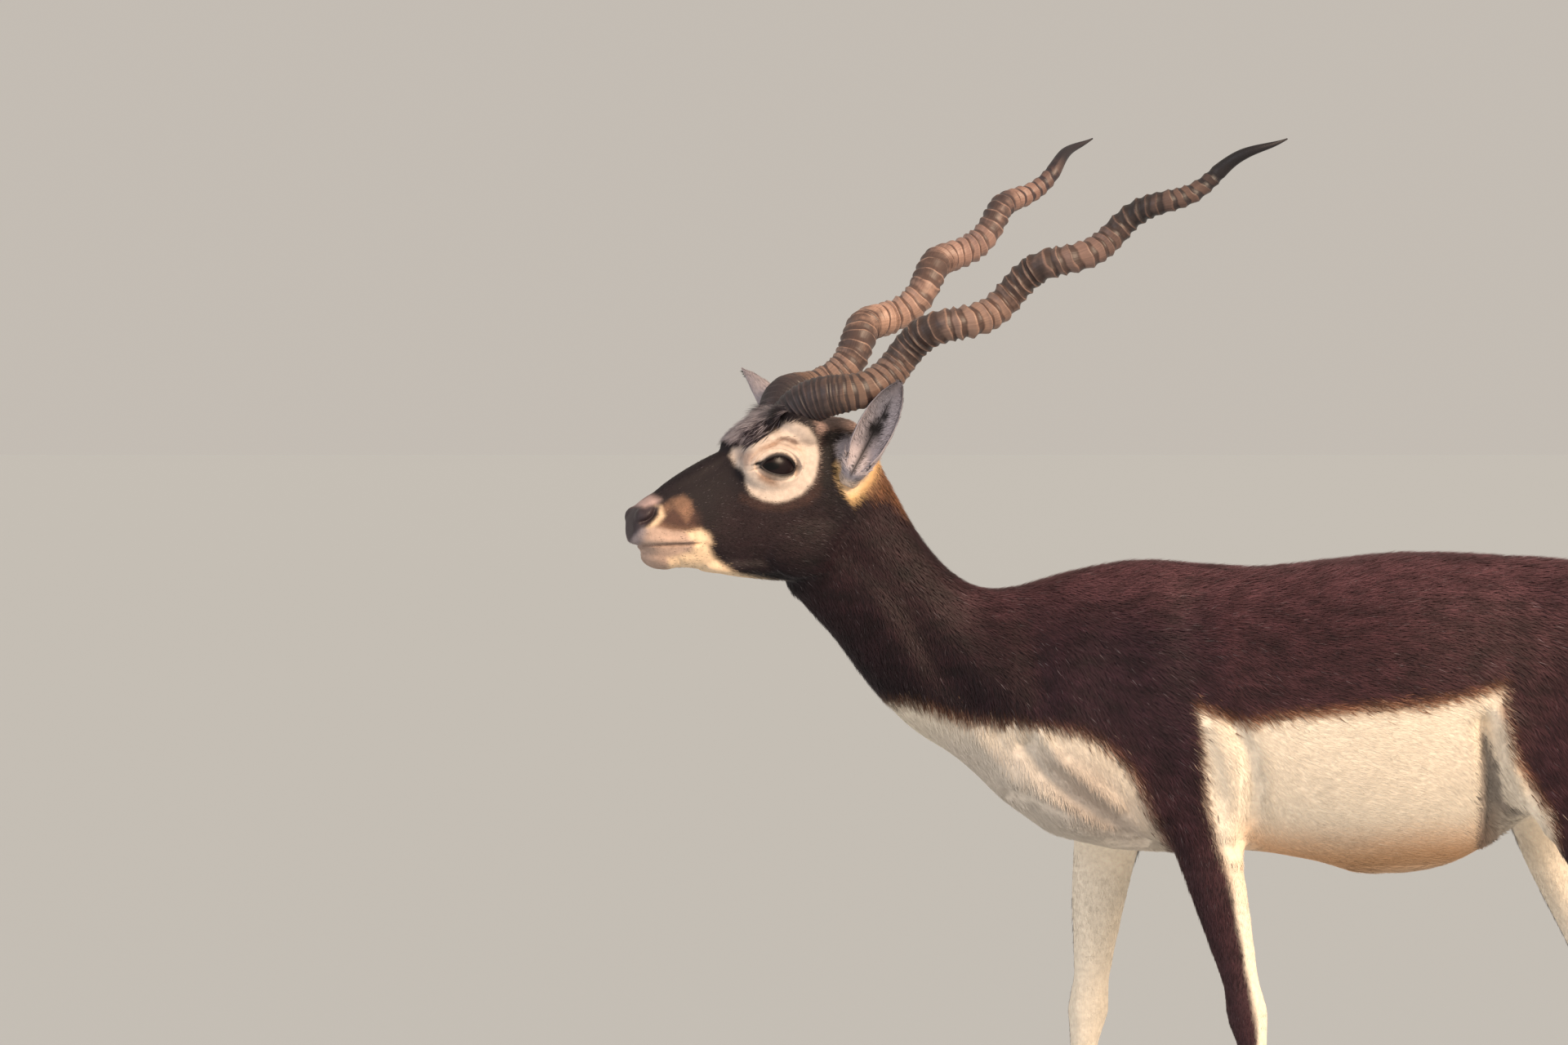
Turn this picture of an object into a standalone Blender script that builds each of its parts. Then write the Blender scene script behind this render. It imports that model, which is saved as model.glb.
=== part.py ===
"""Adult male blackbuck, life size, in mid stride with its head turned a little to its left.

Metres, +Z up. The nose points along -X and the left flank along -Y, and the soles stand on Z = 0.
The flesh is lofted along the spine and the limbs, fused by a voxel remesh and parted with thin plane cuts.
"""

import math

import bmesh
import bpy
from mathutils import Matrix, Vector
from mathutils.bvhtree import BVHTree

GAP = 0.0003            # clearance kept between touching nodes
HEAD_TRIANGLES = 2400   # faces left on the head and on the rest of the flesh
BODY_TRIANGLES = 4300
SIDES = {"left": -1.0, "right": 1.0}

# The head has a frame of its own: local X runs back along the skull, turned about the vertical through the atlas.
HEAD_PIVOT = Vector((-0.328, -0.020, 0.0))
HEAD_YAW = math.radians(24)

# Neck and trunk, front to back: top x, z, bottom x, z, sideways shift, half width, narrowing towards the top.
SPINE = [
    (-0.320, 0.881, -0.395, 0.745, -0.020, 0.043, 0.10),
    (-0.291, 0.855, -0.384, 0.723, -0.017, 0.044, 0.10),
    (-0.272, 0.819, -0.367, 0.704, -0.014, 0.045, 0.12),
    (-0.256, 0.791, -0.344, 0.680, -0.010, 0.047, 0.14),
    (-0.238, 0.767, -0.324, 0.652, -0.006, 0.050, 0.16),
    (-0.217, 0.748, -0.299, 0.621, -0.002, 0.054, 0.18),
    (-0.193, 0.737, -0.271, 0.592, 0.000, 0.058, 0.20),
    (-0.164, 0.739, -0.238, 0.571, 0.000, 0.063, 0.24),
    (-0.135, 0.748, -0.201, 0.545, 0.000, 0.069, 0.28),
    (-0.107, 0.756, -0.164, 0.517, 0.000, 0.075, 0.30),
    (-0.078, 0.762, -0.123, 0.488, 0.000, 0.080, 0.30),
    (-0.045, 0.766, -0.078, 0.473, 0.000, 0.084, 0.28),
    (-0.008, 0.765, -0.025, 0.467, 0.000, 0.087, 0.25),
    (0.037, 0.761, 0.033, 0.468, 0.000, 0.091, 0.18),
    (0.086, 0.759, 0.086, 0.467, 0.000, 0.097, 0.10),
    (0.148, 0.765, 0.148, 0.455, 0.000, 0.104, 0.02),
    (0.213, 0.772, 0.213, 0.449, 0.000, 0.107, -0.04),
    (0.279, 0.772, 0.279, 0.458, 0.000, 0.102, -0.04),
    (0.328, 0.770, 0.328, 0.484, 0.000, 0.094, 0.00),
    (0.377, 0.767, 0.377, 0.517, 0.000, 0.088, 0.06),
    (0.426, 0.762, 0.426, 0.545, 0.000, 0.084, 0.10),
    (0.471, 0.749, 0.471, 0.566, 0.000, 0.074, 0.10),
    (0.504, 0.728, 0.504, 0.590, 0.000, 0.058, 0.10),
    (0.528, 0.700, 0.528, 0.620, 0.000, 0.036, 0.00),
    (0.538, 0.680, 0.538, 0.648, 0.000, 0.016, 0.00),
]

# Skull and jaw in the head's frame, nose to nape: x, z of the top, z of the bottom, half width, narrowing upwards.
SKULL = [
    (-0.2420, 0.807, 0.787, 0.0110, 0.00),
    (-0.2380, 0.815, 0.781, 0.0172, 0.02),
    (-0.2300, 0.824, 0.777, 0.0212, 0.06),
    (-0.2180, 0.832, 0.765, 0.0232, 0.10),
    (-0.1970, 0.842, 0.757, 0.0245, 0.12),
    (-0.1750, 0.854, 0.756, 0.0255, 0.12),
    (-0.1530, 0.866, 0.752, 0.0275, 0.08),
    (-0.1390, 0.873, 0.749, 0.0300, 0.04),
    (-0.1210, 0.883, 0.746, 0.0350, -0.05),
    (-0.0990, 0.895, 0.744, 0.0395, -0.11),
    (-0.0760, 0.903, 0.743, 0.0415, -0.13),
    (-0.0490, 0.905, 0.741, 0.0420, -0.12),
    (-0.0270, 0.903, 0.739, 0.0410, -0.10),
    (0.0000, 0.895, 0.736, 0.0390, -0.06),
    (0.0220, 0.881, 0.735, 0.0370, -0.02),
]

# Legs from the trunk to the coronet: x, z, distance from the midline, fore-and-aft radius, sideways radius.
LEGS = {
    "front_left": [
        (-0.052, 0.738, 0.024, 0.018, 0.008),
        (-0.068, 0.710, 0.036, 0.036, 0.014),
        (-0.095, 0.660, 0.049, 0.050, 0.025),
        (-0.115, 0.605, 0.056, 0.050, 0.030),
        (-0.070, 0.565, 0.060, 0.052, 0.030),
        (0.000, 0.540, 0.060, 0.050, 0.029),
        (0.024, 0.505, 0.060, 0.043, 0.027),
        (0.034, 0.463, 0.060, 0.035, 0.025),
        (0.044, 0.422, 0.059, 0.029, 0.022),
        (0.056, 0.373, 0.058, 0.0235, 0.019),
        (0.064, 0.338, 0.057, 0.0195, 0.0175),
        (0.070, 0.308, 0.056, 0.0225, 0.0200),
        (0.075, 0.278, 0.055, 0.0165, 0.0165),
        (0.084, 0.225, 0.054, 0.0125, 0.0120),
        (0.094, 0.165, 0.053, 0.0125, 0.0115),
        (0.103, 0.122, 0.052, 0.0165, 0.0145),
        (0.099, 0.092, 0.052, 0.0140, 0.0135),
        (0.087, 0.062, 0.052, 0.0155, 0.0160),
        (0.080, 0.030, 0.052, 0.0170, 0.0180),
    ],
    "front_right": [
        (-0.056, 0.738, 0.024, 0.018, 0.008),
        (-0.074, 0.710, 0.036, 0.036, 0.014),
        (-0.108, 0.660, 0.049, 0.050, 0.025),
        (-0.140, 0.600, 0.056, 0.048, 0.030),
        (-0.120, 0.560, 0.060, 0.050, 0.030),
        (-0.078, 0.530, 0.060, 0.048, 0.029),
        (-0.066, 0.500, 0.060, 0.043, 0.027),
        (-0.071, 0.463, 0.060, 0.035, 0.025),
        (-0.076, 0.422, 0.059, 0.029, 0.022),
        (-0.081, 0.373, 0.058, 0.0235, 0.019),
        (-0.084, 0.338, 0.057, 0.0195, 0.0175),
        (-0.087, 0.308, 0.056, 0.0225, 0.0200),
        (-0.091, 0.278, 0.055, 0.0165, 0.0165),
        (-0.096, 0.225, 0.054, 0.0125, 0.0120),
        (-0.102, 0.165, 0.053, 0.0125, 0.0115),
        (-0.107, 0.122, 0.052, 0.0165, 0.0145),
        (-0.117, 0.092, 0.052, 0.0140, 0.0135),
        (-0.131, 0.062, 0.052, 0.0155, 0.0160),
        (-0.138, 0.030, 0.052, 0.0170, 0.0180),
    ],
    "hind_left": [
        (0.452, 0.738, 0.016, 0.030, 0.010),
        (0.452, 0.710, 0.032, 0.060, 0.020),
        (0.440, 0.660, 0.054, 0.082, 0.038),
        (0.425, 0.605, 0.060, 0.082, 0.038),
        (0.398, 0.553, 0.064, 0.064, 0.035),
        (0.410, 0.505, 0.066, 0.048, 0.030),
        (0.438, 0.450, 0.065, 0.036, 0.025),
        (0.466, 0.395, 0.063, 0.026, 0.020),
        (0.487, 0.352, 0.061, 0.0215, 0.0165),
        (0.501, 0.322, 0.060, 0.0240, 0.0175),
        (0.508, 0.285, 0.059, 0.0185, 0.0155),
        (0.516, 0.235, 0.058, 0.0140, 0.0125),
        (0.526, 0.172, 0.057, 0.0130, 0.0120),
        (0.534, 0.128, 0.056, 0.0170, 0.0150),
        (0.529, 0.096, 0.056, 0.0140, 0.0135),
        (0.518, 0.064, 0.056, 0.0155, 0.0160),
        (0.511, 0.030, 0.056, 0.0170, 0.0180),
    ],
    "hind_right": [
        (0.450, 0.738, 0.016, 0.030, 0.010),
        (0.450, 0.710, 0.032, 0.060, 0.020),
        (0.434, 0.660, 0.054, 0.082, 0.038),
        (0.414, 0.605, 0.060, 0.080, 0.038),
        (0.380, 0.553, 0.064, 0.060, 0.035),
        (0.378, 0.505, 0.066, 0.048, 0.030),
        (0.394, 0.450, 0.065, 0.036, 0.025),
        (0.412, 0.395, 0.063, 0.026, 0.020),
        (0.427, 0.352, 0.061, 0.0215, 0.0165),
        (0.438, 0.322, 0.060, 0.0240, 0.0175),
        (0.437, 0.285, 0.059, 0.0185, 0.0155),
        (0.430, 0.235, 0.058, 0.0140, 0.0125),
        (0.421, 0.172, 0.057, 0.0130, 0.0120),
        (0.415, 0.128, 0.056, 0.0170, 0.0150),
        (0.404, 0.096, 0.056, 0.0140, 0.0135),
        (0.390, 0.064, 0.056, 0.0155, 0.0160),
        (0.382, 0.030, 0.056, 0.0170, 0.0180),
    ],
}

HOOF_TOP = 0.044        # height of the coronet, where the horn of the hoof begins
CARPUS_CUT = 0.308      # height at which a foreleg is parted at its carpus
HOCK_CUT = 0.318        # height at which a hind leg is parted at its hock

EYE_CENTRE = (-0.0985, 0.0290, 0.8590)   # in the head's frame, distance from the midline second
EYE_RADIUS = 0.0200
LID_THICKNESS = 0.0024
EYE_OPENING = (0.0196, 0.0112)           # half length and half height of the gap between the lids

HORN_ROOT = Vector((-0.062, 0.029, 0.907))
HORN_RUN = Vector((0.422, 0.189, 0.290))      # straight part of the axis from root to tip
HORN_BOW = Vector((0.015, 0.009, -0.0085))    # slight bow of that axis
HORN_COIL = (0.0103, 0.0037)                  # coil radius at the root and near the tip
HORN_TURNS = (3.79, 0.74)                     # turns, and how they tighten towards the tip
HORN_PHASE = 0.44
HORN_RINGS_END = 0.84                         # share of the length that is ringed
HORN_SIDES = 8
HORN_RADII = [
    (-0.04, 0.0225), (0.00, 0.0225), (0.05, 0.0210), (0.10, 0.0185), (0.20, 0.0168), (0.30, 0.0165),
    (0.40, 0.0155), (0.50, 0.0148), (0.60, 0.0140), (0.70, 0.0122), (0.78, 0.0104), (0.85, 0.0080),
    (0.92, 0.0056), (0.97, 0.0030), (1.00, 0.0007),
]

# Ears: root and tip in the head's frame, and the way that the cup opens, all for that side.
EARS = {
    "left": ((-0.014, 0.037, 0.851), (0.006, 0.108, 0.943), (-0.50, 0.80, -0.20)),
    "right": ((-0.020, 0.038, 0.856), (-0.074, 0.095, 0.952), (-0.45, 0.88, -0.10)),
}
EAR_HALF_WIDTHS = [(0.0, 0.0155), (0.12, 0.0190), (0.30, 0.0220), (0.48, 0.0225), (0.66, 0.0195),
                   (0.82, 0.0134), (0.93, 0.0070), (1.0, 0.0012)]
EAR_WRAP = [(0.0, 168.0), (0.15, 150.0), (0.35, 112.0), (0.6, 88.0), (0.85, 72.0), (1.0, 60.0)]
EAR_THICKNESS = 0.0028

FORELOCK_ROWS = [(-0.086, 0.9150), (-0.101, 0.9100), (-0.116, 0.9015)]   # x and z of the roots

TAIL = [
    (0.512, 0.715, 0.013, 0.014), (0.538, 0.702, 0.014, 0.016), (0.553, 0.680, 0.014, 0.017),
    (0.559, 0.652, 0.013, 0.017), (0.561, 0.620, 0.012, 0.016), (0.562, 0.590, 0.009, 0.012),
    (0.563, 0.566, 0.004, 0.006),
]


def clear_scene():
    for obj in list(bpy.data.objects):
        bpy.data.objects.remove(obj, do_unlink=True)


def make_collection(name, shown=True):
    made = bpy.data.collections.new(name)
    made.hide_render = not shown
    bpy.context.scene.collection.children.link(made)
    return made


clear_scene()
ANIMAL = make_collection("blackbuck")
HELPERS = make_collection("helpers", shown=False)


def material(name, colour, roughness):
    made = bpy.data.materials.new(name)
    made.use_nodes = True
    shader = made.node_tree.nodes["Principled BSDF"]
    shader.inputs["Base Color"].default_value = (*colour, 1.0)
    shader.inputs["Roughness"].default_value = roughness
    shader.inputs["Metallic"].default_value = 0.0
    return made


DARK_COAT = material("dark_coat", (0.045, 0.026, 0.020), 0.75)
PALE_COAT = material("pale_coat", (0.70, 0.62, 0.50), 0.80)
EAR_COAT = material("ear_coat", (0.40, 0.36, 0.33), 0.80)
HORN_SHEATH = material("horn_sheath", (0.16, 0.095, 0.060), 0.45)
HOOF_HORN = material("hoof_horn", (0.020, 0.016, 0.014), 0.35)
WET_EYE = material("wet_eye", (0.010, 0.006, 0.004), 0.05)


def object_from(bm, name, collection=HELPERS):
    mesh = bpy.data.meshes.new(name)
    bmesh.ops.recalc_face_normals(bm, faces=bm.faces)
    bm.to_mesh(mesh)
    bm.free()
    obj = bpy.data.objects.new(name, mesh)
    collection.objects.link(obj)
    return obj


def loft(name, rings):
    """A closed skin over unlike sections, each a ring of as many points."""
    bm = bmesh.new()
    verts = [[bm.verts.new(point) for point in ring] for ring in rings]
    count = len(rings[0])
    for near, far in zip(verts, verts[1:]):
        for i in range(count):
            j = (i + 1) % count
            bm.faces.new((near[i], near[j], far[j], far[i]))
    bm.faces.new(verts[0])
    bm.faces.new(verts[-1])
    return object_from(bm, name)


def between(rows, steps):
    """Catmull-Rom rows: as many values in each row, with steps spans between one row and the next."""
    made = []
    for i in range(len(rows) - 1):
        before, here, there, after = (rows[min(max(k, 0), len(rows) - 1)] for k in range(i - 1, i + 3))
        for step in range(steps):
            t = step / steps
            made.append(tuple(
                0.5 * (2 * b + (c - a) * t + (2 * a - 5 * b + 4 * c - d) * t * t + (3 * b - a - 3 * c + d) * t ** 3)
                for a, b, c, d in zip(before, here, there, after)
            ))
    made.append(tuple(rows[-1]))
    return made


def lookup(table, t):
    """Value at t in a table of (t, value) pairs, straight between them."""
    for (t0, v0), (t1, v1) in zip(table, table[1:]):
        if t <= t1:
            return v0 + (v1 - v0) * max(0.0, (t - t0) / (t1 - t0))
    return table[-1][1]


def oval(centre, up, side, half_up, half_side, count, narrowing=0.0, square=2.0):
    """Ring of a section; narrowing draws its upper half in, and square above 2 fills its corners."""
    ring = []
    for i in range(count):
        angle = 2 * math.pi * i / count
        c, s = math.cos(angle), math.sin(angle)
        rise = math.copysign(abs(s) ** (2 / square), s)
        reach = math.copysign(abs(c) ** (2 / square), c) * (1 - narrowing * rise)
        ring.append(centre + up * (half_up * rise) + side * (half_side * reach))
    return ring


def spine_piece(name, rows, count=28, square=2.15):
    rings = []
    for top_x, top_z, low_x, low_z, shift, half_width, narrowing in between(rows, 3):
        top, low = Vector((top_x, shift, top_z)), Vector((low_x, shift, low_z))
        axis = top - low
        rings.append(oval((top + low) / 2, axis.normalized(), Vector((0, 1, 0)),
                          axis.length / 2, half_width, count, narrowing, square))
    return loft(name, rings)


def skull_piece(name):
    rings = []
    for x, top, low, half_width, narrowing in between(SKULL, 3):
        centre = Vector((x, 0, (top + low) / 2))
        rings.append(oval(centre, Vector((0, 0, 1)), Vector((0, 1, 0)), (top - low) / 2, half_width, 28,
                          narrowing, 2.3))
    return loft(name, rings)


def tube_piece(name, points, radii, side=Vector((0, 1, 0)), count=16):
    """Limb or muscle: ovals square to the path, each with its fore-and-aft and sideways radius."""
    rings = []
    for i, point in enumerate(points):
        along = (points[min(i + 1, len(points) - 1)] - points[max(i - 1, 0)]).normalized()
        across = (side - along * side.dot(along)).normalized()
        rings.append(oval(point, along.cross(across), across, radii[i][0], radii[i][1], count))
    return loft(name, rings)


def leg_piece(name, rows, sign):
    smooth = between(rows, 2)
    points = [Vector((x, sign * y, z)) for x, z, y, _, _ in smooth]
    return tube_piece(name, points, [(deep, wide) for _, _, _, deep, wide in smooth])


def ellipsoid(name, centre, radii, tilt=0.0, turn=0.0):
    """tilt turns it about Y and turn about Z, in degrees."""
    bm = bmesh.new()
    bmesh.ops.create_uvsphere(bm, u_segments=18, v_segments=10, radius=1.0)
    place = (Matrix.Translation(centre) @ Matrix.Rotation(math.radians(turn), 4, "Z")
             @ Matrix.Rotation(math.radians(tilt), 4, "Y") @ Matrix.Diagonal((*radii, 1.0)))
    bmesh.ops.transform(bm, matrix=place, verts=bm.verts)
    return object_from(bm, name)


def paired(name, centre, radii, tilt=0.0, turn=0.0):
    return [ellipsoid(f"{name}_{side}", (centre[0], sign * centre[1], centre[2]), radii, tilt, sign * turn)
            for side, sign in SIDES.items()]


def evaluated_mesh(obj):
    bpy.context.view_layer.update()
    graph = bpy.context.evaluated_depsgraph_get()
    return bpy.data.meshes.new_from_object(obj.evaluated_get(graph))


def bake(obj):
    """Applies the object's modifiers and its transform to its mesh."""
    made = evaluated_mesh(obj)
    made.transform(obj.matrix_world)
    obj.modifiers.clear()
    obj.data = made
    obj.matrix_world = Matrix.Identity(4)
    return obj


def copy_of(obj, name):
    made = bpy.data.objects.new(name, obj.data.copy())
    HELPERS.objects.link(made)
    return made


def joined(name, pieces):
    bm = bmesh.new()
    for piece in pieces:
        bm.from_mesh(piece.data)
    return object_from_raw(bm, name)


def object_from_raw(bm, name):
    mesh = bpy.data.meshes.new(name)
    bm.to_mesh(mesh)
    bm.free()
    obj = bpy.data.objects.new(name, mesh)
    HELPERS.objects.link(obj)
    return obj


def fused(name, pieces, voxel, rounds):
    """Overlapping pieces as one skin, softened so that they melt into each other."""
    obj = joined(name, pieces)
    remesh = obj.modifiers.new("fuse", "REMESH")
    remesh.mode = "VOXEL"
    remesh.voxel_size = voxel
    smooth = obj.modifiers.new("soften", "SMOOTH")
    smooth.factor = 0.5
    smooth.iterations = rounds
    return bake(obj)


def thinned(obj, triangles):
    """Fewer faces where the skin is flat."""
    thin = obj.modifiers.new("thin", "DECIMATE")
    thin.ratio = triangles / (2 * len(obj.data.polygons))
    return largest_body(bake(obj))


def largest_body(obj):
    """Keeps the closed surface with the most volume and drops loose scraps."""
    bm = bmesh.new()
    bm.from_mesh(obj.data)
    bmesh.ops.triangulate(bm, faces=bm.faces)
    left, bodies = set(bm.faces), []
    while left:
        face = left.pop()
        body, edge = [face], [face]
        while edge:
            for near in {f for e in edge.pop().edges for f in e.link_faces} & left:
                left.discard(near)
                body.append(near)
                edge.append(near)
        volume = sum(f.verts[0].co.dot(f.verts[1].co.cross(f.verts[2].co)) for f in body) / 6
        bodies.append((abs(volume), body))
    bodies.sort(key=lambda found: -found[0])
    scraps = [face for _, body in bodies[1:] for face in body]
    bmesh.ops.delete(bm, geom=scraps, context="FACES")
    bm.to_mesh(obj.data)
    bm.free()
    return obj


def boolean(obj, other, operation, solver="EXACT"):
    modifier = obj.modifiers.new(operation.lower(), "BOOLEAN")
    modifier.operation = operation
    modifier.solver = solver
    modifier.object = other
    return largest_body(bake(obj))


def united(name, pieces):
    """One Boolean union of closed pieces that overlap."""
    group = bpy.data.collections.new(name + "_pieces")
    for piece in pieces[1:]:
        group.objects.link(piece)
    whole = copy_of(pieces[0], name)
    modifier = whole.modifiers.new("union", "BOOLEAN")
    modifier.operation = "UNION"
    modifier.solver = "EXACT"
    modifier.operand_type = "COLLECTION"
    modifier.collection = group
    bake(whole)
    for piece in pieces:
        bpy.data.objects.remove(piece, do_unlink=True)
    bpy.data.collections.remove(group)
    return largest_body(whole)


def below(obj, point, normal, name):
    """The part of a solid behind a plane, capped flat."""
    bm = bmesh.new()
    bm.from_mesh(obj.data)
    geometry = bm.verts[:] + bm.edges[:] + bm.faces[:]
    cut = bmesh.ops.bisect_plane(bm, geom=geometry, plane_co=point, plane_no=normal, clear_outer=True)
    rim = [e for e in cut["geom_cut"] if isinstance(e, bmesh.types.BMEdge)]
    bmesh.ops.holes_fill(bm, edges=rim, sides=0)
    return largest_body(object_from_raw(bm, name))


def parted(obj, point, normal, name_behind, name_ahead):
    """Two solids either side of a thin planar cut."""
    point, normal = Vector(point), Vector(normal).normalized()
    behind = below(obj, point - normal * GAP / 2, normal, name_behind)
    ahead = below(obj, point + normal * GAP / 2, -normal, name_ahead)
    return behind, ahead


def wedge(name, planes, grow):
    """Convex cutter behind every plane, each moved outwards by grow."""
    bm = bmesh.new()
    bmesh.ops.create_cube(bm, size=4.0)
    for point, normal in planes:
        normal = Vector(normal).normalized()
        geometry = bm.verts[:] + bm.edges[:] + bm.faces[:]
        cut = bmesh.ops.bisect_plane(bm, geom=geometry, plane_co=Vector(point) + normal * grow,
                                     plane_no=normal, clear_outer=True)
        rim = [e for e in cut["geom_cut"] if isinstance(e, bmesh.types.BMEdge)]
        bmesh.ops.holes_fill(bm, edges=rim, sides=0)
    return object_from(bm, name)


def outset(obj, distance, name):
    """Copy of a solid with its surface moved outwards, for cutting a clearance."""
    made = copy_of(obj, name)
    displace = made.modifiers.new("clearance", "DISPLACE")
    displace.strength = distance
    displace.mid_level = 0.0
    return bake(made)


def finish_node(obj, name, surface, auto_angle=50):
    mesh = obj.data
    bpy.data.objects.remove(obj, do_unlink=True)
    made = bpy.data.objects.new(name, mesh)
    ANIMAL.objects.link(made)
    made.data.materials.clear()
    made.data.materials.append(surface)
    made.data.shade_smooth()
    made.data.set_sharp_from_angle(angle=math.radians(auto_angle))
    return made


def head_place():
    return Matrix.Translation(HEAD_PIVOT) @ Matrix.Rotation(HEAD_YAW, 4, "Z")


def placed(obj):
    """Moves a piece from the head's frame into the animal's."""
    obj.data.transform(head_place())
    return obj


def neck_muscles():
    """The two long muscles that show as ridges from the jaw to the shoulder and the brisket."""
    pieces = []
    for side, sign in SIDES.items():
        strap = [(-0.335, -0.018 + sign * 0.030, 0.790), (-0.290, -0.010 + sign * 0.035, 0.725),
                 (-0.240, sign * 0.041, 0.665), (-0.190, sign * 0.050, 0.615), (-0.140, sign * 0.058, 0.570)]
        pieces.append(tube_piece(f"strap_{side}", [Vector(p) for p in strap], [(0.020, 0.016)] * 5))
    return pieces


def chest_muscles():
    """Breast muscles running back between the forelegs, and the brisket roll on the midline."""
    pieces = []
    for side, sign in SIDES.items():
        breast = [(-0.185, sign * 0.030, 0.585), (-0.140, sign * 0.046, 0.550), (-0.085, sign * 0.052, 0.520),
                  (-0.030, sign * 0.050, 0.500)]
        radii = [(0.026, 0.024), (0.034, 0.028), (0.034, 0.026), (0.026, 0.022)]
        pieces.append(tube_piece(f"breast_{side}", [Vector(p) for p in breast], radii))
    brisket = [(-0.205, 0.0, 0.575), (-0.165, 0.0, 0.540), (-0.120, 0.0, 0.508), (-0.060, 0.0, 0.492),
               (0.000, 0.0, 0.488)]
    radii = [(0.022, 0.026), (0.026, 0.030), (0.026, 0.030), (0.024, 0.028), (0.020, 0.026)]
    pieces.append(tube_piece("brisket", [Vector(p) for p in brisket], radii))
    return pieces


def trunk_forms():
    """Hip points, the seat of each thigh, the flank folds and the sheath under the belly."""
    pieces = paired("hip_point", (0.395, 0.050, 0.722), (0.046, 0.026, 0.024), 12)
    pieces += paired("seat", (0.503, 0.034, 0.655), (0.030, 0.030, 0.056), 12)
    pieces += paired("shoulder_point", (-0.128, 0.064, 0.606), (0.036, 0.020, 0.036))
    pieces += paired("flank_fold", (0.330, 0.074, 0.590), (0.034, 0.014, 0.040), -20)
    pieces.append(ellipsoid("sheath", (0.222, 0.0, 0.4545), (0.070, 0.014, 0.012), -8))
    pieces.append(ellipsoid("scrotum", (0.455, 0.0, 0.545), (0.024, 0.024, 0.034)))
    return pieces


def foot_details():
    """Dew claws behind the fetlocks and the points of the hocks."""
    pieces = []
    for leg, rows in LEGS.items():
        sign = SIDES[leg.split("_")[1]]
        fetlock = rows[-4]
        for outward in (-0.009, 0.009):
            centre = (fetlock[0] + 0.015, sign * fetlock[2] + outward, fetlock[1] - 0.014)
            pieces.append(ellipsoid(f"dewclaw_{leg}", centre, (0.0055, 0.0045, 0.0085), -20))
        if leg.startswith("hind"):
            hock = rows[9]
            pieces.append(ellipsoid(f"hock_{leg}", (hock[0] + 0.016, sign * hock[2], hock[1] + 0.010),
                                    (0.013, 0.010, 0.020), 12))
    return pieces


def head_masses():
    """Brow, orbits, cheeks, horn seats and chin, which melt into the skull. In the head's frame."""
    x, y, z = EYE_CENTRE
    pieces = paired("orbit", (x + 0.002, y + 0.001, z), (0.038, 0.0185, 0.030))
    pieces += paired("brow", (x + 0.012, y - 0.001, z + 0.025), (0.034, 0.014, 0.012), -10)
    pieces += paired("cheekbone", (x + 0.034, y + 0.002, z - 0.016), (0.046, 0.012, 0.011), 8)
    pieces += paired("masseter", (-0.058, 0.027, 0.788), (0.052, 0.015, 0.042), -20)
    pieces += paired("ear_seat", (-0.014, 0.031, 0.862), (0.024, 0.018, 0.028))
    pieces += paired("horn_seat", (-0.064, 0.026, 0.897), (0.029, 0.022, 0.020), 20)
    pieces += paired("lip_corner", (-0.180, 0.0170, 0.7810), (0.022, 0.0095, 0.0110))
    pieces += paired("jaw_edge", (-0.104, 0.0155, 0.7600), (0.060, 0.0120, 0.0110), -3)
    pieces.append(ellipsoid("forehead", (-0.100, 0.0, 0.885), (0.042, 0.032, 0.018), -28))
    pieces.append(ellipsoid("tuft", (-0.099, 0.0, 0.890), (0.047, 0.029, 0.0185), -25))
    pieces.append(ellipsoid("poll", (-0.028, 0.0, 0.894), (0.044, 0.036, 0.020), -8))
    pieces.append(ellipsoid("lower_lip", (-0.2060, 0.0, 0.7680), (0.0230, 0.0185, 0.0135), 6))
    pieces.append(ellipsoid("nose_bridge", (-0.165, 0.0, 0.852), (0.064, 0.015, 0.011), -27))
    return pieces


def head_details():
    """Lids, nose wings and upper lip, which keep their own edge on the softened skull. In the head's frame."""
    lid_radius = EYE_RADIUS + LID_THICKNESS
    pieces = paired("lids", EYE_CENTRE, (lid_radius, lid_radius, lid_radius))
    pieces += paired("nose_wing", (-0.2290, 0.0125, 0.8080), (0.0125, 0.0105, 0.0125), 25)
    pieces += paired("upper_lip", (-0.2040, 0.0150, 0.7855), (0.0270, 0.0105, 0.0085), 4)
    pieces.append(ellipsoid("chin", (-0.2070, 0.0, 0.7670), (0.0200, 0.0165, 0.0115), 6))
    return pieces


def flat_lock(name, root, direction, outward, length, width, lift):
    """Tapered lock that leaves its root sunk in the skin, rises by lift and bends back along its direction."""
    across = direction.cross(outward).normalized()
    rings = []
    for t, half in ((0.0, 0.62), (0.34, 1.0), (0.7, 0.66), (1.0, 0.12)):
        rise = lift * math.sin(2.6 * t) - 0.0030 * (1 - t)
        rings.append(oval(root + direction * (length * t) + outward * rise, outward, across,
                          0.0019 * (1 - 0.6 * t), width * half, 4))
    return loft(name, rings)


def forelock():
    """Tousled locks on the forehead, from the horn bases down to the bridge of the nose. In the head's frame."""
    locks = []
    for row, (x, z) in enumerate(FORELOCK_ROWS):
        for spot in range(4 - row % 2):
            side = (spot - (3 - row % 2) / 2) * 0.0120
            swing = 0.11 * ((row * 7 + spot * 5) % 5 - 2)
            direction = Vector((-0.90, side * 10 + swing, -0.42 - 0.22 * row)).normalized()
            outward = Vector((-0.42, side * 8, 0.90)).normalized()
            length = 0.026 + 0.003 * ((row * 5 + spot * 3) % 4)
            root = Vector((x, side, z - 0.0012 - 12.0 * side * side))
            locks.append(flat_lock(f"forelock_{row}_{spot}", root, direction, outward, length, 0.0050, 0.0040))
    return locks


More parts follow.
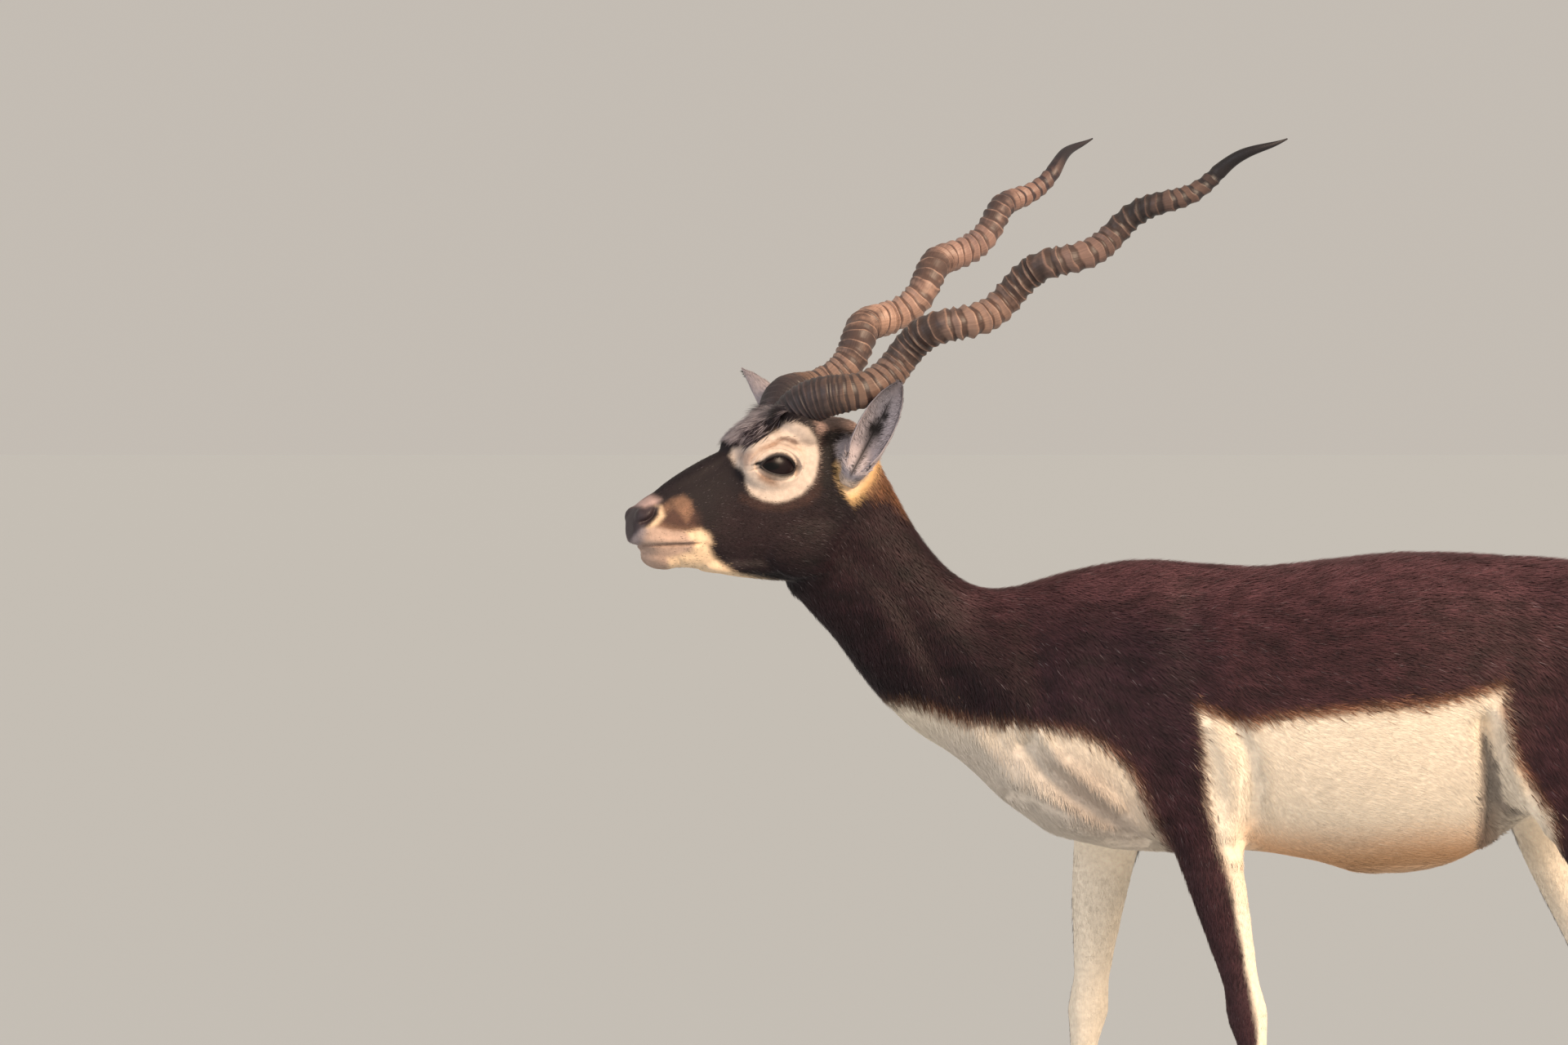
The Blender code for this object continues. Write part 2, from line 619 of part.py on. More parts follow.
def almond_cutter(name, sign):
    """Prism of the lid opening, pointed at both corners and tilted down towards the nose."""
    x, y, z = EYE_CENTRE
    half_length, half_height = EYE_OPENING
    rings = []
    for depth in (0.006, 0.045):
        ring = []
        for i in range(20):
            angle = 2 * math.pi * i / 20
            along = half_length * math.cos(angle)
            rise = half_height * math.sin(angle) * (1 - 0.35 * abs(math.cos(angle)) ** 3)
            ring.append(Vector((x + along, sign * (y + depth), z - 0.0005 + rise - 0.08 * along)))
        rings.append(ring)
    return loft(name, rings)


def mouth_groove(head):
    """Thin tube that follows the lips, from one mouth corner round the front to the other."""
    tree = BVHTree.FromPolygons([v.co for v in head.data.vertices], [p.vertices for p in head.data.polygons])
    core = Vector((-0.205, 0.0, 0.0))
    points = []
    for step in range(19):
        turn = math.radians(-112 + 224 * step / 18)
        height = 0.7775 + 0.0060 * abs(turn / math.radians(112)) ** 1.5
        ray = Vector((-math.cos(turn), math.sin(turn), 0.0))
        stretch = 0.034 * abs(math.sin(turn / 2)) ** 3
        hit = tree.ray_cast(Vector((core.x + stretch, 0.0, height)), ray)[0]
        if hit:
            points.append(hit - ray * 0.0004)
    curve = bpy.data.curves.new("mouth_groove", "CURVE")
    curve.dimensions = "3D"
    curve.bevel_depth = 0.0013
    curve.bevel_resolution = 1
    curve.use_fill_caps = True
    spline = curve.splines.new("POLY")
    spline.points.add(len(points) - 1)
    for slot, point in zip(spline.points, points):
        slot.co = (*point, 1.0)
    path = bpy.data.objects.new("mouth_groove", curve)
    HELPERS.objects.link(path)
    mesh = evaluated_mesh(path)
    bpy.data.objects.remove(path, do_unlink=True)
    bm = bmesh.new()
    bm.from_mesh(mesh)
    bmesh.ops.remove_doubles(bm, verts=bm.verts, dist=1e-5)
    return object_from(bm, "mouth_groove_solid")


def make_head(neck_piece):
    masses = [placed(piece) for piece in [skull_piece("skull")] + head_masses()]
    soft = fused("soft_head", masses + [neck_piece], 0.0030, 12)
    details = [placed(piece) for piece in head_details()]
    head = thinned(fused("head_solid", [soft] + details, 0.0017, 4), HEAD_TRIANGLES)
    head = below(head, Vector(NECK_CUT[0]) - Vector(NECK_CUT[1]).normalized() * GAP / 2, NECK_CUT[1], "head_cut")
    head.data.transform(head_place().inverted())
    for side, sign in SIDES.items():
        x, y, z = EYE_CENTRE
        ball = ellipsoid("socket", (x, sign * y, z), (EYE_RADIUS + GAP,) * 3)
        hollow = united("eye_hollow", [ball, almond_cutter("lid_opening", sign)])
        head = boolean(head, hollow, "DIFFERENCE")
        nostril = ellipsoid("nostril", (-0.2335, sign * 0.0175, 0.8070), (0.0108, 0.0065, 0.0046), -38, sign * 28)
        head = boolean(head, nostril, "DIFFERENCE")
    head = boolean(head, mouth_groove(head), "DIFFERENCE")
    return placed(united("head_with_forelock", [head] + forelock()))


def make_eye(sign):
    x, y, z = EYE_CENTRE
    bm = bmesh.new()
    bmesh.ops.create_uvsphere(bm, u_segments=16, v_segments=10, radius=EYE_RADIUS)
    bmesh.ops.transform(bm, matrix=Matrix.Translation((x, sign * y, z)), verts=bm.verts)
    return placed(object_from(bm, "eyeball"))


def horn_centre(t, sign):
    """Point of the coiled axis at share t of the length, in the head's frame."""
    straight = HORN_ROOT + HORN_RUN * t + HORN_BOW * t * t
    along = (HORN_RUN + HORN_BOW * 2 * t).normalized()
    up = Vector((0, 0, 1))
    first = (up - along * up.dot(along)).normalized()
    second = first.cross(along)
    root, tip = HORN_COIL
    radius = root + (tip - root) * t
    phase = HORN_PHASE + 2 * math.pi * (HORN_TURNS[0] * t + HORN_TURNS[1] * t * t) * -1
    point = straight + first * (radius * math.cos(phase)) - second * (radius * math.sin(phase))
    return Vector((point.x, sign * point.y, point.z))


def horn_stations():
    """(t, relief) down the horn: a valley and a ridge for each ring, then the smooth tip."""
    stations = [(-0.022, 0.78)]
    t = -0.010
    while t < HORN_RINGS_END:
        spacing = 0.0126 + 0.021 * t
        stations += [(t, 0.915), (t + 0.62 * spacing, 1.03)]
        t += spacing
    smooth_from = t
    stations += [(smooth_from + (1 - smooth_from) * k / 6, 1.0) for k in range(1, 7)]
    return stations


def make_horn(sign):
    step = 0.004
    heart = Vector((HORN_ROOT.x + 0.004, sign * (HORN_ROOT.y - 0.002), HORN_ROOT.z - 0.030))
    rings = [oval(heart, Vector((1, 0, 0)), Vector((0, 1, 0)), 0.016, 0.015, HORN_SIDES)]
    for t, relief in horn_stations():
        here = horn_centre(t, sign)
        along = (horn_centre(t + step, sign) - horn_centre(t - step, sign)).normalized()
        side = Vector((0, 1, 0))
        side = (side - along * side.dot(along)).normalized()
        radius = lookup(HORN_RADII, t) * relief
        stretch = 1.0 + 0.14 * max(0.0, 1 - t / 0.12)
        rings.append(oval(here, along.cross(side), side, radius, radius * stretch ** -0.5, HORN_SIDES))
    beside_midline = below(loft("horn", rings), Vector((0, sign * GAP / 2, 0)), Vector((0, -sign, 0)), "horn_solid")
    return placed(beside_midline)


def ear_frame(side):
    root, tip, opening = (Vector((v[0], SIDES[side] * v[1], v[2])) for v in EARS[side])
    along = (tip - root).normalized()
    opens = (opening - along * opening.dot(along)).normalized()
    return root, tip, along, opens, along.cross(opens)


def make_ear(side):
    """A leaf-shaped cup: crescents lofted from a closed root to a blunt tip, with a stub in its foot."""
    root, tip, along, opens, across = ear_frame(side)
    length = (tip - root).length
    rings, arc = [], 7
    for k in range(12):
        t = -0.08 + 1.08 * k / 11
        half = lookup(EAR_HALF_WIDTHS, max(t, 0.0))
        wrap = math.radians(lookup(EAR_WRAP, max(t, 0.0)))
        radius = half / math.sin(min(wrap, math.pi / 2))
        wall = min(EAR_THICKNESS, half * 0.45)
        lean = -0.006 * math.sin(math.pi * max(t, 0.0))
        centre = root + along * (length * t) + opens * (radius * 0.35 + lean)
        ring = []
        for depth, order in ((radius, range(arc)), (radius - wall, reversed(range(arc)))):
            for i in order:
                angle = wrap * (2 * i / (arc - 1) - 1)
                ring.append(centre + across * (depth * math.sin(angle)) - opens * (depth * math.cos(angle)))
        rings.append(ring)
    cup = loft("ear_cup", rings)
    stub_points = [root + along * (length * t) + opens * 0.002 for t in (-0.10, -0.02, 0.04, 0.07)]
    stub = tube_piece("ear_stub", stub_points, [(0.0140, 0.0150), (0.0140, 0.0150), (0.0110, 0.0120), (0.003, 0.003)],
                      side=across, count=12)
    return placed(united("ear", [cup, stub]))


def make_hoof(leg):
    """Two claws, pointed at the toe and parted by a cleft, under a round coronet."""
    rows = LEGS[leg]
    sign = SIDES[leg.split("_")[1]]
    share = (HOOF_TOP - rows[-1][1]) / (rows[-2][1] - rows[-1][1])
    coronet = Vector((rows[-1][0] + share * (rows[-2][0] - rows[-1][0]), sign * rows[-1][2], HOOF_TOP - GAP))
    claws = []
    for outward in (-1, 1):
        rings = []
        for height, slide, half_long, half_wide, apart in (
            (1.0, 0.0, 0.0150, 0.0092, 0.0068), (0.6, -0.0040, 0.0200, 0.0110, 0.0088),
            (0.07, -0.0100, 0.0250, 0.0112, 0.0102), (0.0, -0.0100, 0.0240, 0.0104, 0.0102),
        ):
            ring = []
            for i in range(10):
                angle = 2 * math.pi * i / 10
                point = 0.5 * (1 - math.cos(angle))
                wide = half_wide * math.sin(angle) * (1 - 0.45 * (1 - point) ** 2)
                ring.append(Vector((coronet.x + slide - half_long * math.cos(angle),
                                    coronet.y + outward * apart + wide, coronet.z * height)))
            rings.append(ring)
        claws.append(loft(f"claw_{outward}", rings))
    heel = loft("heel", [
        oval(Vector((coronet.x + slide, coronet.y, coronet.z * height)), Vector((1, 0, 0)), Vector((0, 1, 0)),
             long, wide, 10)
        for height, slide, long, wide in ((1.0, 0.001, 0.0150, 0.0155), (0.55, 0.002, 0.0150, 0.0150),
                                          (0.22, 0.004, 0.0110, 0.0110))
    ])
    return united("hoof", [heel] + claws)


def make_tail(torso):
    """Short tapering tail with flat locks that overlap down its back and sides."""
    points = [Vector((x, 0.0, z)) for x, z, _, _ in TAIL]
    core = tube_piece("tail_core", points, [(deep, wide) for _, _, deep, wide in TAIL], count=12)
    locks = []
    for row in range(3):
        for spot in range(4):
            around = 2 * math.pi * (spot + 0.5 * (row % 2)) / 4
            start = 2.0 + row * 1.25
            base = points[int(start)].lerp(points[int(start) + 1], start % 1)
            spread = TAIL[int(start)][3] * 0.72
            outward = Vector((math.cos(around), math.sin(around), 0.0))
            across = Vector((-math.sin(around), math.cos(around), 0.0))
            length = 0.046 + 0.004 * ((row * 7 + spot * 5) % 4)
            rings = []
            for t, half in ((0.0, 0.0070), (0.35, 0.0095), (0.7, 0.0064), (1.0, 0.0010)):
                drop = Vector((0.002 * t, 0.0, -length * t))
                centre = base + outward * (spread + 0.0055 * math.sin(2.2 * t)) + drop
                rings.append(oval(centre, outward, across, 0.0024 * (1 - 0.6 * t), half, 4))
            locks.append(loft(f"lock_{row}_{spot}", rings))
    tail = united("tail", [core] + locks)
    return boolean(tail, outset(torso, GAP, "torso_clear"), "DIFFERENCE")


NECK_CUT = ((-0.345, -0.015, 0.800), (0.820, 0.174, -0.546))
SHOULDER_CUT = ((-0.190, 0.0, 0.655), (0.868, 0.0, -0.496))

# Planes that wall in each leg: the slanted joint with the trunk first, then the midline, the front and the back.
LEG_WALLS = {
    "front_left": (((0.0, 0.022, 0.478), (0, 0.716, 0.698)), ((-0.055, 0, 0.55), (-1, 0, 0.20)),
                   ((0.076, 0, 0.55), (1, 0, 0.10))),
    "front_right": (((0.0, 0.022, 0.478), (0, 0.716, 0.698)), ((-0.175, 0, 0.55), (-1, 0, 0.0)),
                    ((-0.005, 0, 0.55), (1, 0, 0.0))),
    "hind_left": (((0.0, 0.030, 0.512), (0, 0.77, 0.64)), ((0.331, 0, 0.58), (-1, 0, -0.22)),
                  ((0.640, 0, 0.60), (1, 0, 0.0))),
    "hind_right": (((0.0, 0.030, 0.512), (0, 0.77, 0.64)), ((0.318, 0, 0.58), (-1, 0, -0.12)),
                   ((0.640, 0, 0.60), (1, 0, 0.0))),
}


def leg_planes(leg):
    """The slanted plane faces up and away from the leg, and the midline wall keeps the other leg out."""
    (point, normal), front, back = LEG_WALLS[leg]
    sign = SIDES[leg.split("_")[1]]
    joint = ((0, sign * point[1], point[2]), (0, -sign * normal[1], normal[2]))
    midline = ((0, sign * 0.004, 0), (0, -sign, 0))
    return [joint, midline, front, back]


def make_body():
    """Neck, trunk and legs as one skin, parted into their nodes."""
    spine = spine_piece("spine", SPINE)
    skull = placed(skull_piece("skull_inner"))
    legs = [leg_piece(leg, rows, SIDES[leg.split("_")[1]]) for leg, rows in LEGS.items()]
    pieces = [spine, skull] + legs + neck_muscles() + chest_muscles() + trunk_forms() + foot_details()
    body = thinned(fused("body", pieces, 0.0040, 12), BODY_TRIANGLES)
    body = below(body, (0, 0, HOOF_TOP), (0, 0, -1), "body_on_hooves")
    body = below(body, Vector(NECK_CUT[0]) + Vector(NECK_CUT[1]).normalized() * GAP / 2,
                 -Vector(NECK_CUT[1]), "body_behind_head")
    for leg in LEGS:
        planes = leg_planes(leg)
        whole = copy_of(body, leg)
        for point, normal in planes:
            normal = Vector(normal).normalized()
            whole = below(whole, Vector(point) - normal * GAP / 2, normal, leg)
        cut = CARPUS_CUT if leg.startswith("front") else HOCK_CUT
        lower, upper = parted(whole, (0, 0, cut), (0, 0, 1), leg + "_lower", leg + "_upper")
        finish_node(upper, f"leg_{leg}_upper", DARK_COAT)
        finish_node(lower, f"leg_{leg}_lower", PALE_COAT)
        finish_node(make_hoof(leg), f"hoof_{leg}", HOOF_HORN, 30)
    for leg in LEGS:
        body = boolean(body, wedge("leg_space", leg_planes(leg), GAP / 2), "DIFFERENCE")
    neck, torso = parted(body, *SHOULDER_CUT, "neck_solid", "torso_solid")
    finish_node(neck, "neck", DARK_COAT)
    return finish_node(torso, "torso", DARK_COAT)


def stand_at_origin():
    """Moves every node so that the animal's box is centred over the origin, with its soles on the floor."""
    corners = [obj.matrix_world @ v.co for obj in ANIMAL.objects for v in obj.data.vertices]
    low = Vector([min(c[i] for c in corners) for i in range(3)])
    high = Vector([max(c[i] for c in corners) for i in range(3)])
    middle = Vector(((low.x + high.x) / 2, (low.y + high.y) / 2, low.z))
    for obj in ANIMAL.objects:
        obj.data.transform(Matrix.Translation(-middle))


def make_animal():
    torso = make_body()
    finish_node(make_tail(torso), "tail", DARK_COAT)
    head = finish_node(make_head(spine_piece("upper_neck", SPINE[:6])), "head", DARK_COAT)
    clear_head = outset(head, GAP, "head_clear")
    for side, sign in SIDES.items():
        finish_node(make_eye(sign), f"eye_{side}", WET_EYE)
        horn = boolean(make_horn(sign), clear_head, "DIFFERENCE")
        horn = finish_node(horn, f"horn_{side}", HORN_SHEATH, 60)
        ear = boolean(make_ear(side), clear_head, "DIFFERENCE")
        ear = boolean(ear, outset(horn, GAP, "horn_clear"), "DIFFERENCE")
        finish_node(ear, f"ear_{side}", EAR_COAT)


def drop_helpers():
    for obj in list(HELPERS.objects):
        bpy.data.objects.remove(obj, do_unlink=True)
    bpy.data.collections.remove(HELPERS)


make_animal()
drop_helpers()
stand_at_origin()
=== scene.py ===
# %% [markdown]
# # A blackbuck, made the way a museum makes one
#
# The animal stands life size in mid stride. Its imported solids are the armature: they fix every size and place.
# Over them go, in turn, one skin, a coat of many small tufts, two ringed horns, wet eyes, cupped ears and hooves.
# Everything is in metres, with the nose along -X, the animal's left side along -Y and the soles on Z = 0.

# %% Load the armature
import math

import bmesh
import bpy
import numpy as np
from mathutils import noise, Matrix, Vector
from mathutils.bvhtree import BVHTree


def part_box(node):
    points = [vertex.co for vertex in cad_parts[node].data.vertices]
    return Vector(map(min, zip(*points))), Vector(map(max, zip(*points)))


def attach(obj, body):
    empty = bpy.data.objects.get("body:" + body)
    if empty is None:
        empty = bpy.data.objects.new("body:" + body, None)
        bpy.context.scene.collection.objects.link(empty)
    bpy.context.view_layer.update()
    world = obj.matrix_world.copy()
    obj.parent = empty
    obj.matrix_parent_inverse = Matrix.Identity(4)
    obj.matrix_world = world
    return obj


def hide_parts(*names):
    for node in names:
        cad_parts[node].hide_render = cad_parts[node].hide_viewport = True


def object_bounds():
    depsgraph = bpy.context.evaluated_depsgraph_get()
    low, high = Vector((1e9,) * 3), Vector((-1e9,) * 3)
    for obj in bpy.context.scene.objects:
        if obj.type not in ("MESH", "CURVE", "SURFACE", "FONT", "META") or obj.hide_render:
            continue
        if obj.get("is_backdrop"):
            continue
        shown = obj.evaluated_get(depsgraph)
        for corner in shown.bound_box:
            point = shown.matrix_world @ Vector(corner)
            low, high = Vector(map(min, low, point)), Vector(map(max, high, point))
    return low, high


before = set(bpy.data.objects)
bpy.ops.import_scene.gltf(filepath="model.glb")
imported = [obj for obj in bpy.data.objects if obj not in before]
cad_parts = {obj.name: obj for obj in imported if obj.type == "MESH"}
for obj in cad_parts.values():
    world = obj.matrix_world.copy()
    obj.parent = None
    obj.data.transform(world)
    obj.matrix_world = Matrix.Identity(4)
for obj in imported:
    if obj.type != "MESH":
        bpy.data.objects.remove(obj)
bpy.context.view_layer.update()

# %% [markdown]
# ## Two frames to measure in
#
# The head is turned to the animal's left, so its parts are easier to describe in a frame of its own: x runs back
# along the skull, y to the animal's right, z up. The two eyeballs of the armature fix that frame, because they sit
# at a known place in it. The body keeps a frame whose middle plane is y = 0, and differs from the world by a shift.

# %% Head frame and body shift
EYE = np.array((-0.0985, 0.0290, 0.8590))       # eyeball centre: behind the skull's origin, off the midline, up
HEAD_TURN = math.radians(24)
HEAD_IN_BODY = Vector((-0.328, -0.020, 0.0))    # the skull's origin, in the body's frame


def middle_of(node):
    low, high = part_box(node)
    return (low + high) / 2


between_eyes = (middle_of("eye_left") + middle_of("eye_right")) / 2
turn = Matrix.Rotation(HEAD_TURN, 4, "Z")
skull_origin = between_eyes - turn @ Vector((EYE[0], 0, EYE[2]))
HEAD = Matrix.Translation(skull_origin) @ turn
BODY = Matrix.Translation(skull_origin - HEAD_IN_BODY)
print("head frame at", [round(v, 4) for v in skull_origin], "body shift", [round(v, 4) for v in BODY.translation])


def moved(points, matrix):
    """An array of points through a matrix."""
    return np.asarray(points) @ np.array(matrix.to_3x3()).T + np.array(matrix.translation)


# %% [markdown]
# ## Camera
#
# A long lens from far away, a touch above the animal's eye, flattens the depth as the wildlife picture does.
# It is set first, because the markings further down are drawn where this camera sees them.

# %% Camera at the picture's framing
PICTURE = (1920, 1280)
WIDTH_SEEN = 1.5744          # metres across the picture at the animal's middle plane
DISTANCE = 15.0
LOOK_DOWN = math.radians(1.5)
SENSOR = 36.0
aim = BODY @ Vector((-0.394, 0.0, 0.800))
toward = Vector((0, -math.cos(LOOK_DOWN), math.sin(LOOK_DOWN)))
camera = bpy.data.objects.new("camera", bpy.data.cameras.new("camera"))
camera.data.sensor_width = SENSOR
camera.data.lens = SENSOR * DISTANCE / WIDTH_SEEN
camera.data.clip_end = 200
camera.location = aim + toward * DISTANCE
camera.rotation_euler = (-toward).to_track_quat("-Z", "Y").to_euler()
bpy.context.scene.collection.objects.link(camera)
bpy.context.scene.camera = camera
print("lens", round(camera.data.lens), "mm at", DISTANCE, "m")


def picture_points(points):
    """Where the camera sees points, in pixels of the whole picture."""
    offset = np.asarray(points) - np.array(camera.location)
    depth = offset @ np.array(-toward)
    scale = DISTANCE * PICTURE[0] / WIDTH_SEEN / depth
    rise = offset @ np.array((0, math.sin(LOOK_DOWN), math.cos(LOOK_DOWN)))
    return np.stack([PICTURE[0] / 2 + offset[:, 0] * scale, PICTURE[1] / 2 - rise * scale], 1)


# %% [markdown]
# ## Shaping tools
#
# Flesh is lofted: a row of rings is joined into a skin. Masses such as a cheek or a brow are stretched balls.
# All of them overlap, and a voxel remesh melts them into one surface, which is how a modeller adds clay.

# %% Lofts, balls and a smooth row of stations
def mesh_object(name, points, faces, smooth=True):
    mesh = bpy.data.meshes.new(name)
    mesh.from_pydata([tuple(p) for p in points], [], [tuple(f) for f in faces])
    if smooth:
        mesh.shade_smooth()
    made = bpy.data.objects.new(name, mesh)
    bpy.context.scene.collection.objects.link(made)
    return made


def loft_parts(rings, closed_ends=True):
    """Points and faces of a skin over rings that all have as many points."""
    rings = np.asarray(rings, float)
    rows, count = rings.shape[:2]
    faces = []
    for r in range(rows - 1):
        for i in range(count):
            j = (i + 1) % count
            faces.append((r * count + i, r * count + j, (r + 1) * count + j, (r + 1) * count + i))
    if closed_ends:
        faces.append(tuple(reversed(range(count))))
        faces.append(tuple(range((rows - 1) * count, rows * count)))
    return rings.reshape(-1, 3), faces


def smooth_rows(rows, steps):
    """Catmull-Rom rows between the given ones."""
    rows = np.asarray(rows, float)
    padded = np.vstack([rows[:1], rows, rows[-1:]])
    made = []
    for a, b, c, d in zip(padded, padded[1:], padded[2:], padded[3:]):
        for t in np.arange(steps) / steps:
            made.append(0.5 * (2 * b + (c - a) * t + (2 * a - 5 * b + 4 * c - d) * t ** 2
                               + (3 * b - a - 3 * c + d) * t ** 3))
    return np.array(made + [rows[-1]])


def oval_ring(centre, up, side, half_up, half_side, count=36, narrowing=0.0, square=2.0):
    """A ring; narrowing draws its top in, and square above 2 fills its corners."""
    angle = 2 * np.pi * np.arange(count) / count
    rise = np.sign(np.sin(angle)) * np.abs(np.sin(angle)) ** (2 / square)
    reach = np.sign(np.cos(angle)) * np.abs(np.cos(angle)) ** (2 / square) * (1 - narrowing * rise)
    return np.asarray(centre) + np.outer(half_up * rise, up) + np.outer(half_side * reach, side)


def ball_parts(centre, radii, tilt=0.0, swing=0.0, rows=14, count=28):
    """A stretched ball, tilted about Y and swung about Z, in degrees."""
    polar = np.linspace(0, np.pi, rows)[1:-1]
    rings = [oval_ring((0, 0, math.cos(p)), (1, 0, 0), (0, 1, 0), math.sin(p), math.sin(p), count) for p in polar]
    points, faces = loft_parts(rings[::-1])
    place = (Matrix.Translation(centre) @ Matrix.Rotation(math.radians(swing), 4, "Z")
             @ Matrix.Rotation(math.radians(tilt), 4, "Y") @ Matrix.Diagonal((*radii, 1)))
    return moved(points, place), faces


def joined(name, parts):
    """One object from several (points, faces)."""
    points, faces, start = [], [], 0
    for some_points, some_faces in parts:
        points.append(some_points)
        faces += [tuple(start + i for i in face) for face in some_faces]
        start += len(some_points)
    return mesh_object(name, np.vstack(points), faces)


def applied(obj):
    """Bakes the modifiers of an object into its mesh."""
    bpy.context.view_layer.update()
    mesh = bpy.data.meshes.new_from_object(obj.evaluated_get(bpy.context.evaluated_depsgraph_get()))
    obj.modifiers.clear()
    obj.data = mesh
    return obj


def coordinates(mesh):
    flat = np.empty(len(mesh.vertices) * 3, np.float32)
    mesh.vertices.foreach_get("co", flat)
    return flat.reshape(-1, 3).astype(float)


def vertex_normals(mesh):
    flat = np.empty(len(mesh.vertices) * 3, np.float32)
    mesh.vertex_normals.foreach_get("vector", flat)
    return flat.reshape(-1, 3).astype(float)


# %% [markdown]
# ## The skull and its masses
#
# A skull loft alone looks like a sock puppet. The planes of an antelope's face come from a few masses on it: the
# ring of bone round the eye, the brow, the cheekbone, the chewing muscle, the lips and the chin.

# %% Skull stations, nose to nape: x, top z, bottom z, half width, narrowing upwards
SKULL = [
    (-0.2420, 0.807, 0.787, 0.0110, 0.00), (-0.2380, 0.815, 0.781, 0.0172, 0.02),
    (-0.2300, 0.824, 0.777, 0.0212, 0.06), (-0.2180, 0.832, 0.765, 0.0232, 0.10),
    (-0.1970, 0.842, 0.757, 0.0245, 0.12), (-0.1750, 0.854, 0.756, 0.0255, 0.12),
    (-0.1530, 0.866, 0.752, 0.0275, 0.08), (-0.1390, 0.873, 0.749, 0.0300, 0.04),
    (-0.1210, 0.883, 0.746, 0.0350, -0.05), (-0.0990, 0.895, 0.744, 0.0395, -0.11),
    (-0.0760, 0.903, 0.743, 0.0415, -0.13), (-0.0490, 0.905, 0.741, 0.0420, -0.12),
    (-0.0270, 0.903, 0.739, 0.0410, -0.10), (0.0000, 0.895, 0.736, 0.0390, -0.06),
    (0.0220, 0.881, 0.735, 0.0370, -0.02),
]
# Masses on both sides: centre, radii, tilt.
PAIRED_MASSES = [
    ((-0.0965, 0.0300, 0.859), (0.038, 0.0185, 0.030), 0),      # bone round the eye
    ((-0.0865, 0.0280, 0.884), (0.034, 0.0140, 0.012), -10),    # brow
    ((-0.0645, 0.0310, 0.843), (0.046, 0.0120, 0.011), 8),      # cheekbone
    ((-0.0580, 0.0270, 0.788), (0.052, 0.0150, 0.042), -20),    # chewing muscle
    ((-0.0140, 0.0310, 0.862), (0.024, 0.0180, 0.028), 0),      # root of the ear
    ((-0.0640, 0.0260, 0.897), (0.029, 0.0220, 0.020), 20),     # seat of the horn
    ((-0.1800, 0.0170, 0.781), (0.022, 0.0095, 0.011), 0),      # corner of the lips
    ((-0.1040, 0.0155, 0.760), (0.060, 0.0120, 0.011), -3),     # edge of the jaw
    ((-0.0985, 0.0290, 0.859), (0.0224, 0.0224, 0.0224), 0),    # lids over the eyeball
    ((-0.2290, 0.0125, 0.808), (0.0125, 0.0105, 0.0125), 25),   # wing of the nose
    ((-0.2040, 0.0150, 0.7855), (0.027, 0.0105, 0.0085), 4),    # upper lip
]
MIDDLE_MASSES = [
    ((-0.100, 0, 0.885), (0.042, 0.032, 0.018), -28),           # forehead
    ((-0.099, 0, 0.890), (0.047, 0.029, 0.0185), -25),          # hair cushion on the forehead
    ((-0.030, 0, 0.887), (0.040, 0.036, 0.020), -8),            # poll
    ((-0.206, 0, 0.768), (0.023, 0.0185, 0.0135), 6),           # lower lip
    ((-0.165, 0, 0.852), (0.064, 0.015, 0.011), -27),           # bridge of the nose
    ((-0.207, 0, 0.767), (0.020, 0.0165, 0.0115), 6),           # chin
]
# Upper neck, where head and body meet, in the body's frame: top x, z, bottom x, z, shift, half width, narrowing.
UPPER_NECK = [
    (-0.320, 0.881, -0.395, 0.745, -0.020, 0.043, 0.10), (-0.291, 0.855, -0.384, 0.723, -0.017, 0.044, 0.10),
    (-0.272, 0.819, -0.367, 0.704, -0.014, 0.045, 0.12), (-0.256, 0.791, -0.344, 0.680, -0.010, 0.047, 0.14),
    (-0.238, 0.767, -0.324, 0.652, -0.006, 0.050, 0.16), (-0.217, 0.748, -0.299, 0.621, -0.002, 0.054, 0.18),
]


def skull_parts():
    rings = []
    for x, top, low, half_width, narrowing in smooth_rows(SKULL, 3):
        rings.append(oval_ring((x, 0, (top + low) / 2), (0, 0, 1), (0, 1, 0), (top - low) / 2, half_width,
                               narrowing=narrowing, square=2.3))
    parts = [loft_parts(rings)]
    for (x, y, z), radii, tilt in PAIRED_MASSES:
        parts += [ball_parts((x, y, z), radii, tilt), ball_parts((x, -y, z), radii, tilt)]
    parts += [ball_parts(*mass) for mass in MIDDLE_MASSES]
    return [(moved(points, HEAD), faces) for points, faces in parts]


def neck_parts():
    rings = []
    for top_x, top_z, low_x, low_z, shift, half_width, narrowing in smooth_rows(UPPER_NECK, 3):
        top, low = np.array((top_x, shift, top_z)), np.array((low_x, shift, low_z))
        up = (top - low) / np.linalg.norm(top - low)
        rings.append(oval_ring((top + low) / 2, up, (0, 1, 0), np.linalg.norm(top - low) / 2, half_width,
                               narrowing=narrowing, square=2.15))
    points, faces = loft_parts(rings)
    return [(moved(points, BODY), faces)]


head_parts = skull_parts() + neck_parts()
print("head masses", len(head_parts))

# %% [markdown]
# ## One skin
#
# The armature is parted where a person would name its parts, but skin has no seams. The solids of neck, trunk and
# legs swell by half a millimetre, which closes their thin cuts, join the head's masses, and melt into one surface.
# Rough facets are then rubbed out: hard on the big trunk, gently on thin legs and on the face.

# %% Join the flesh and melt it
FLESH = ["neck", "torso"] + [f"leg_{end}_{side}_{part}" for end in ("front", "hind") for side in ("left", "right")
                             for part in ("upper", "lower")]
SWELL = 0.0005
VOXEL = 0.0038


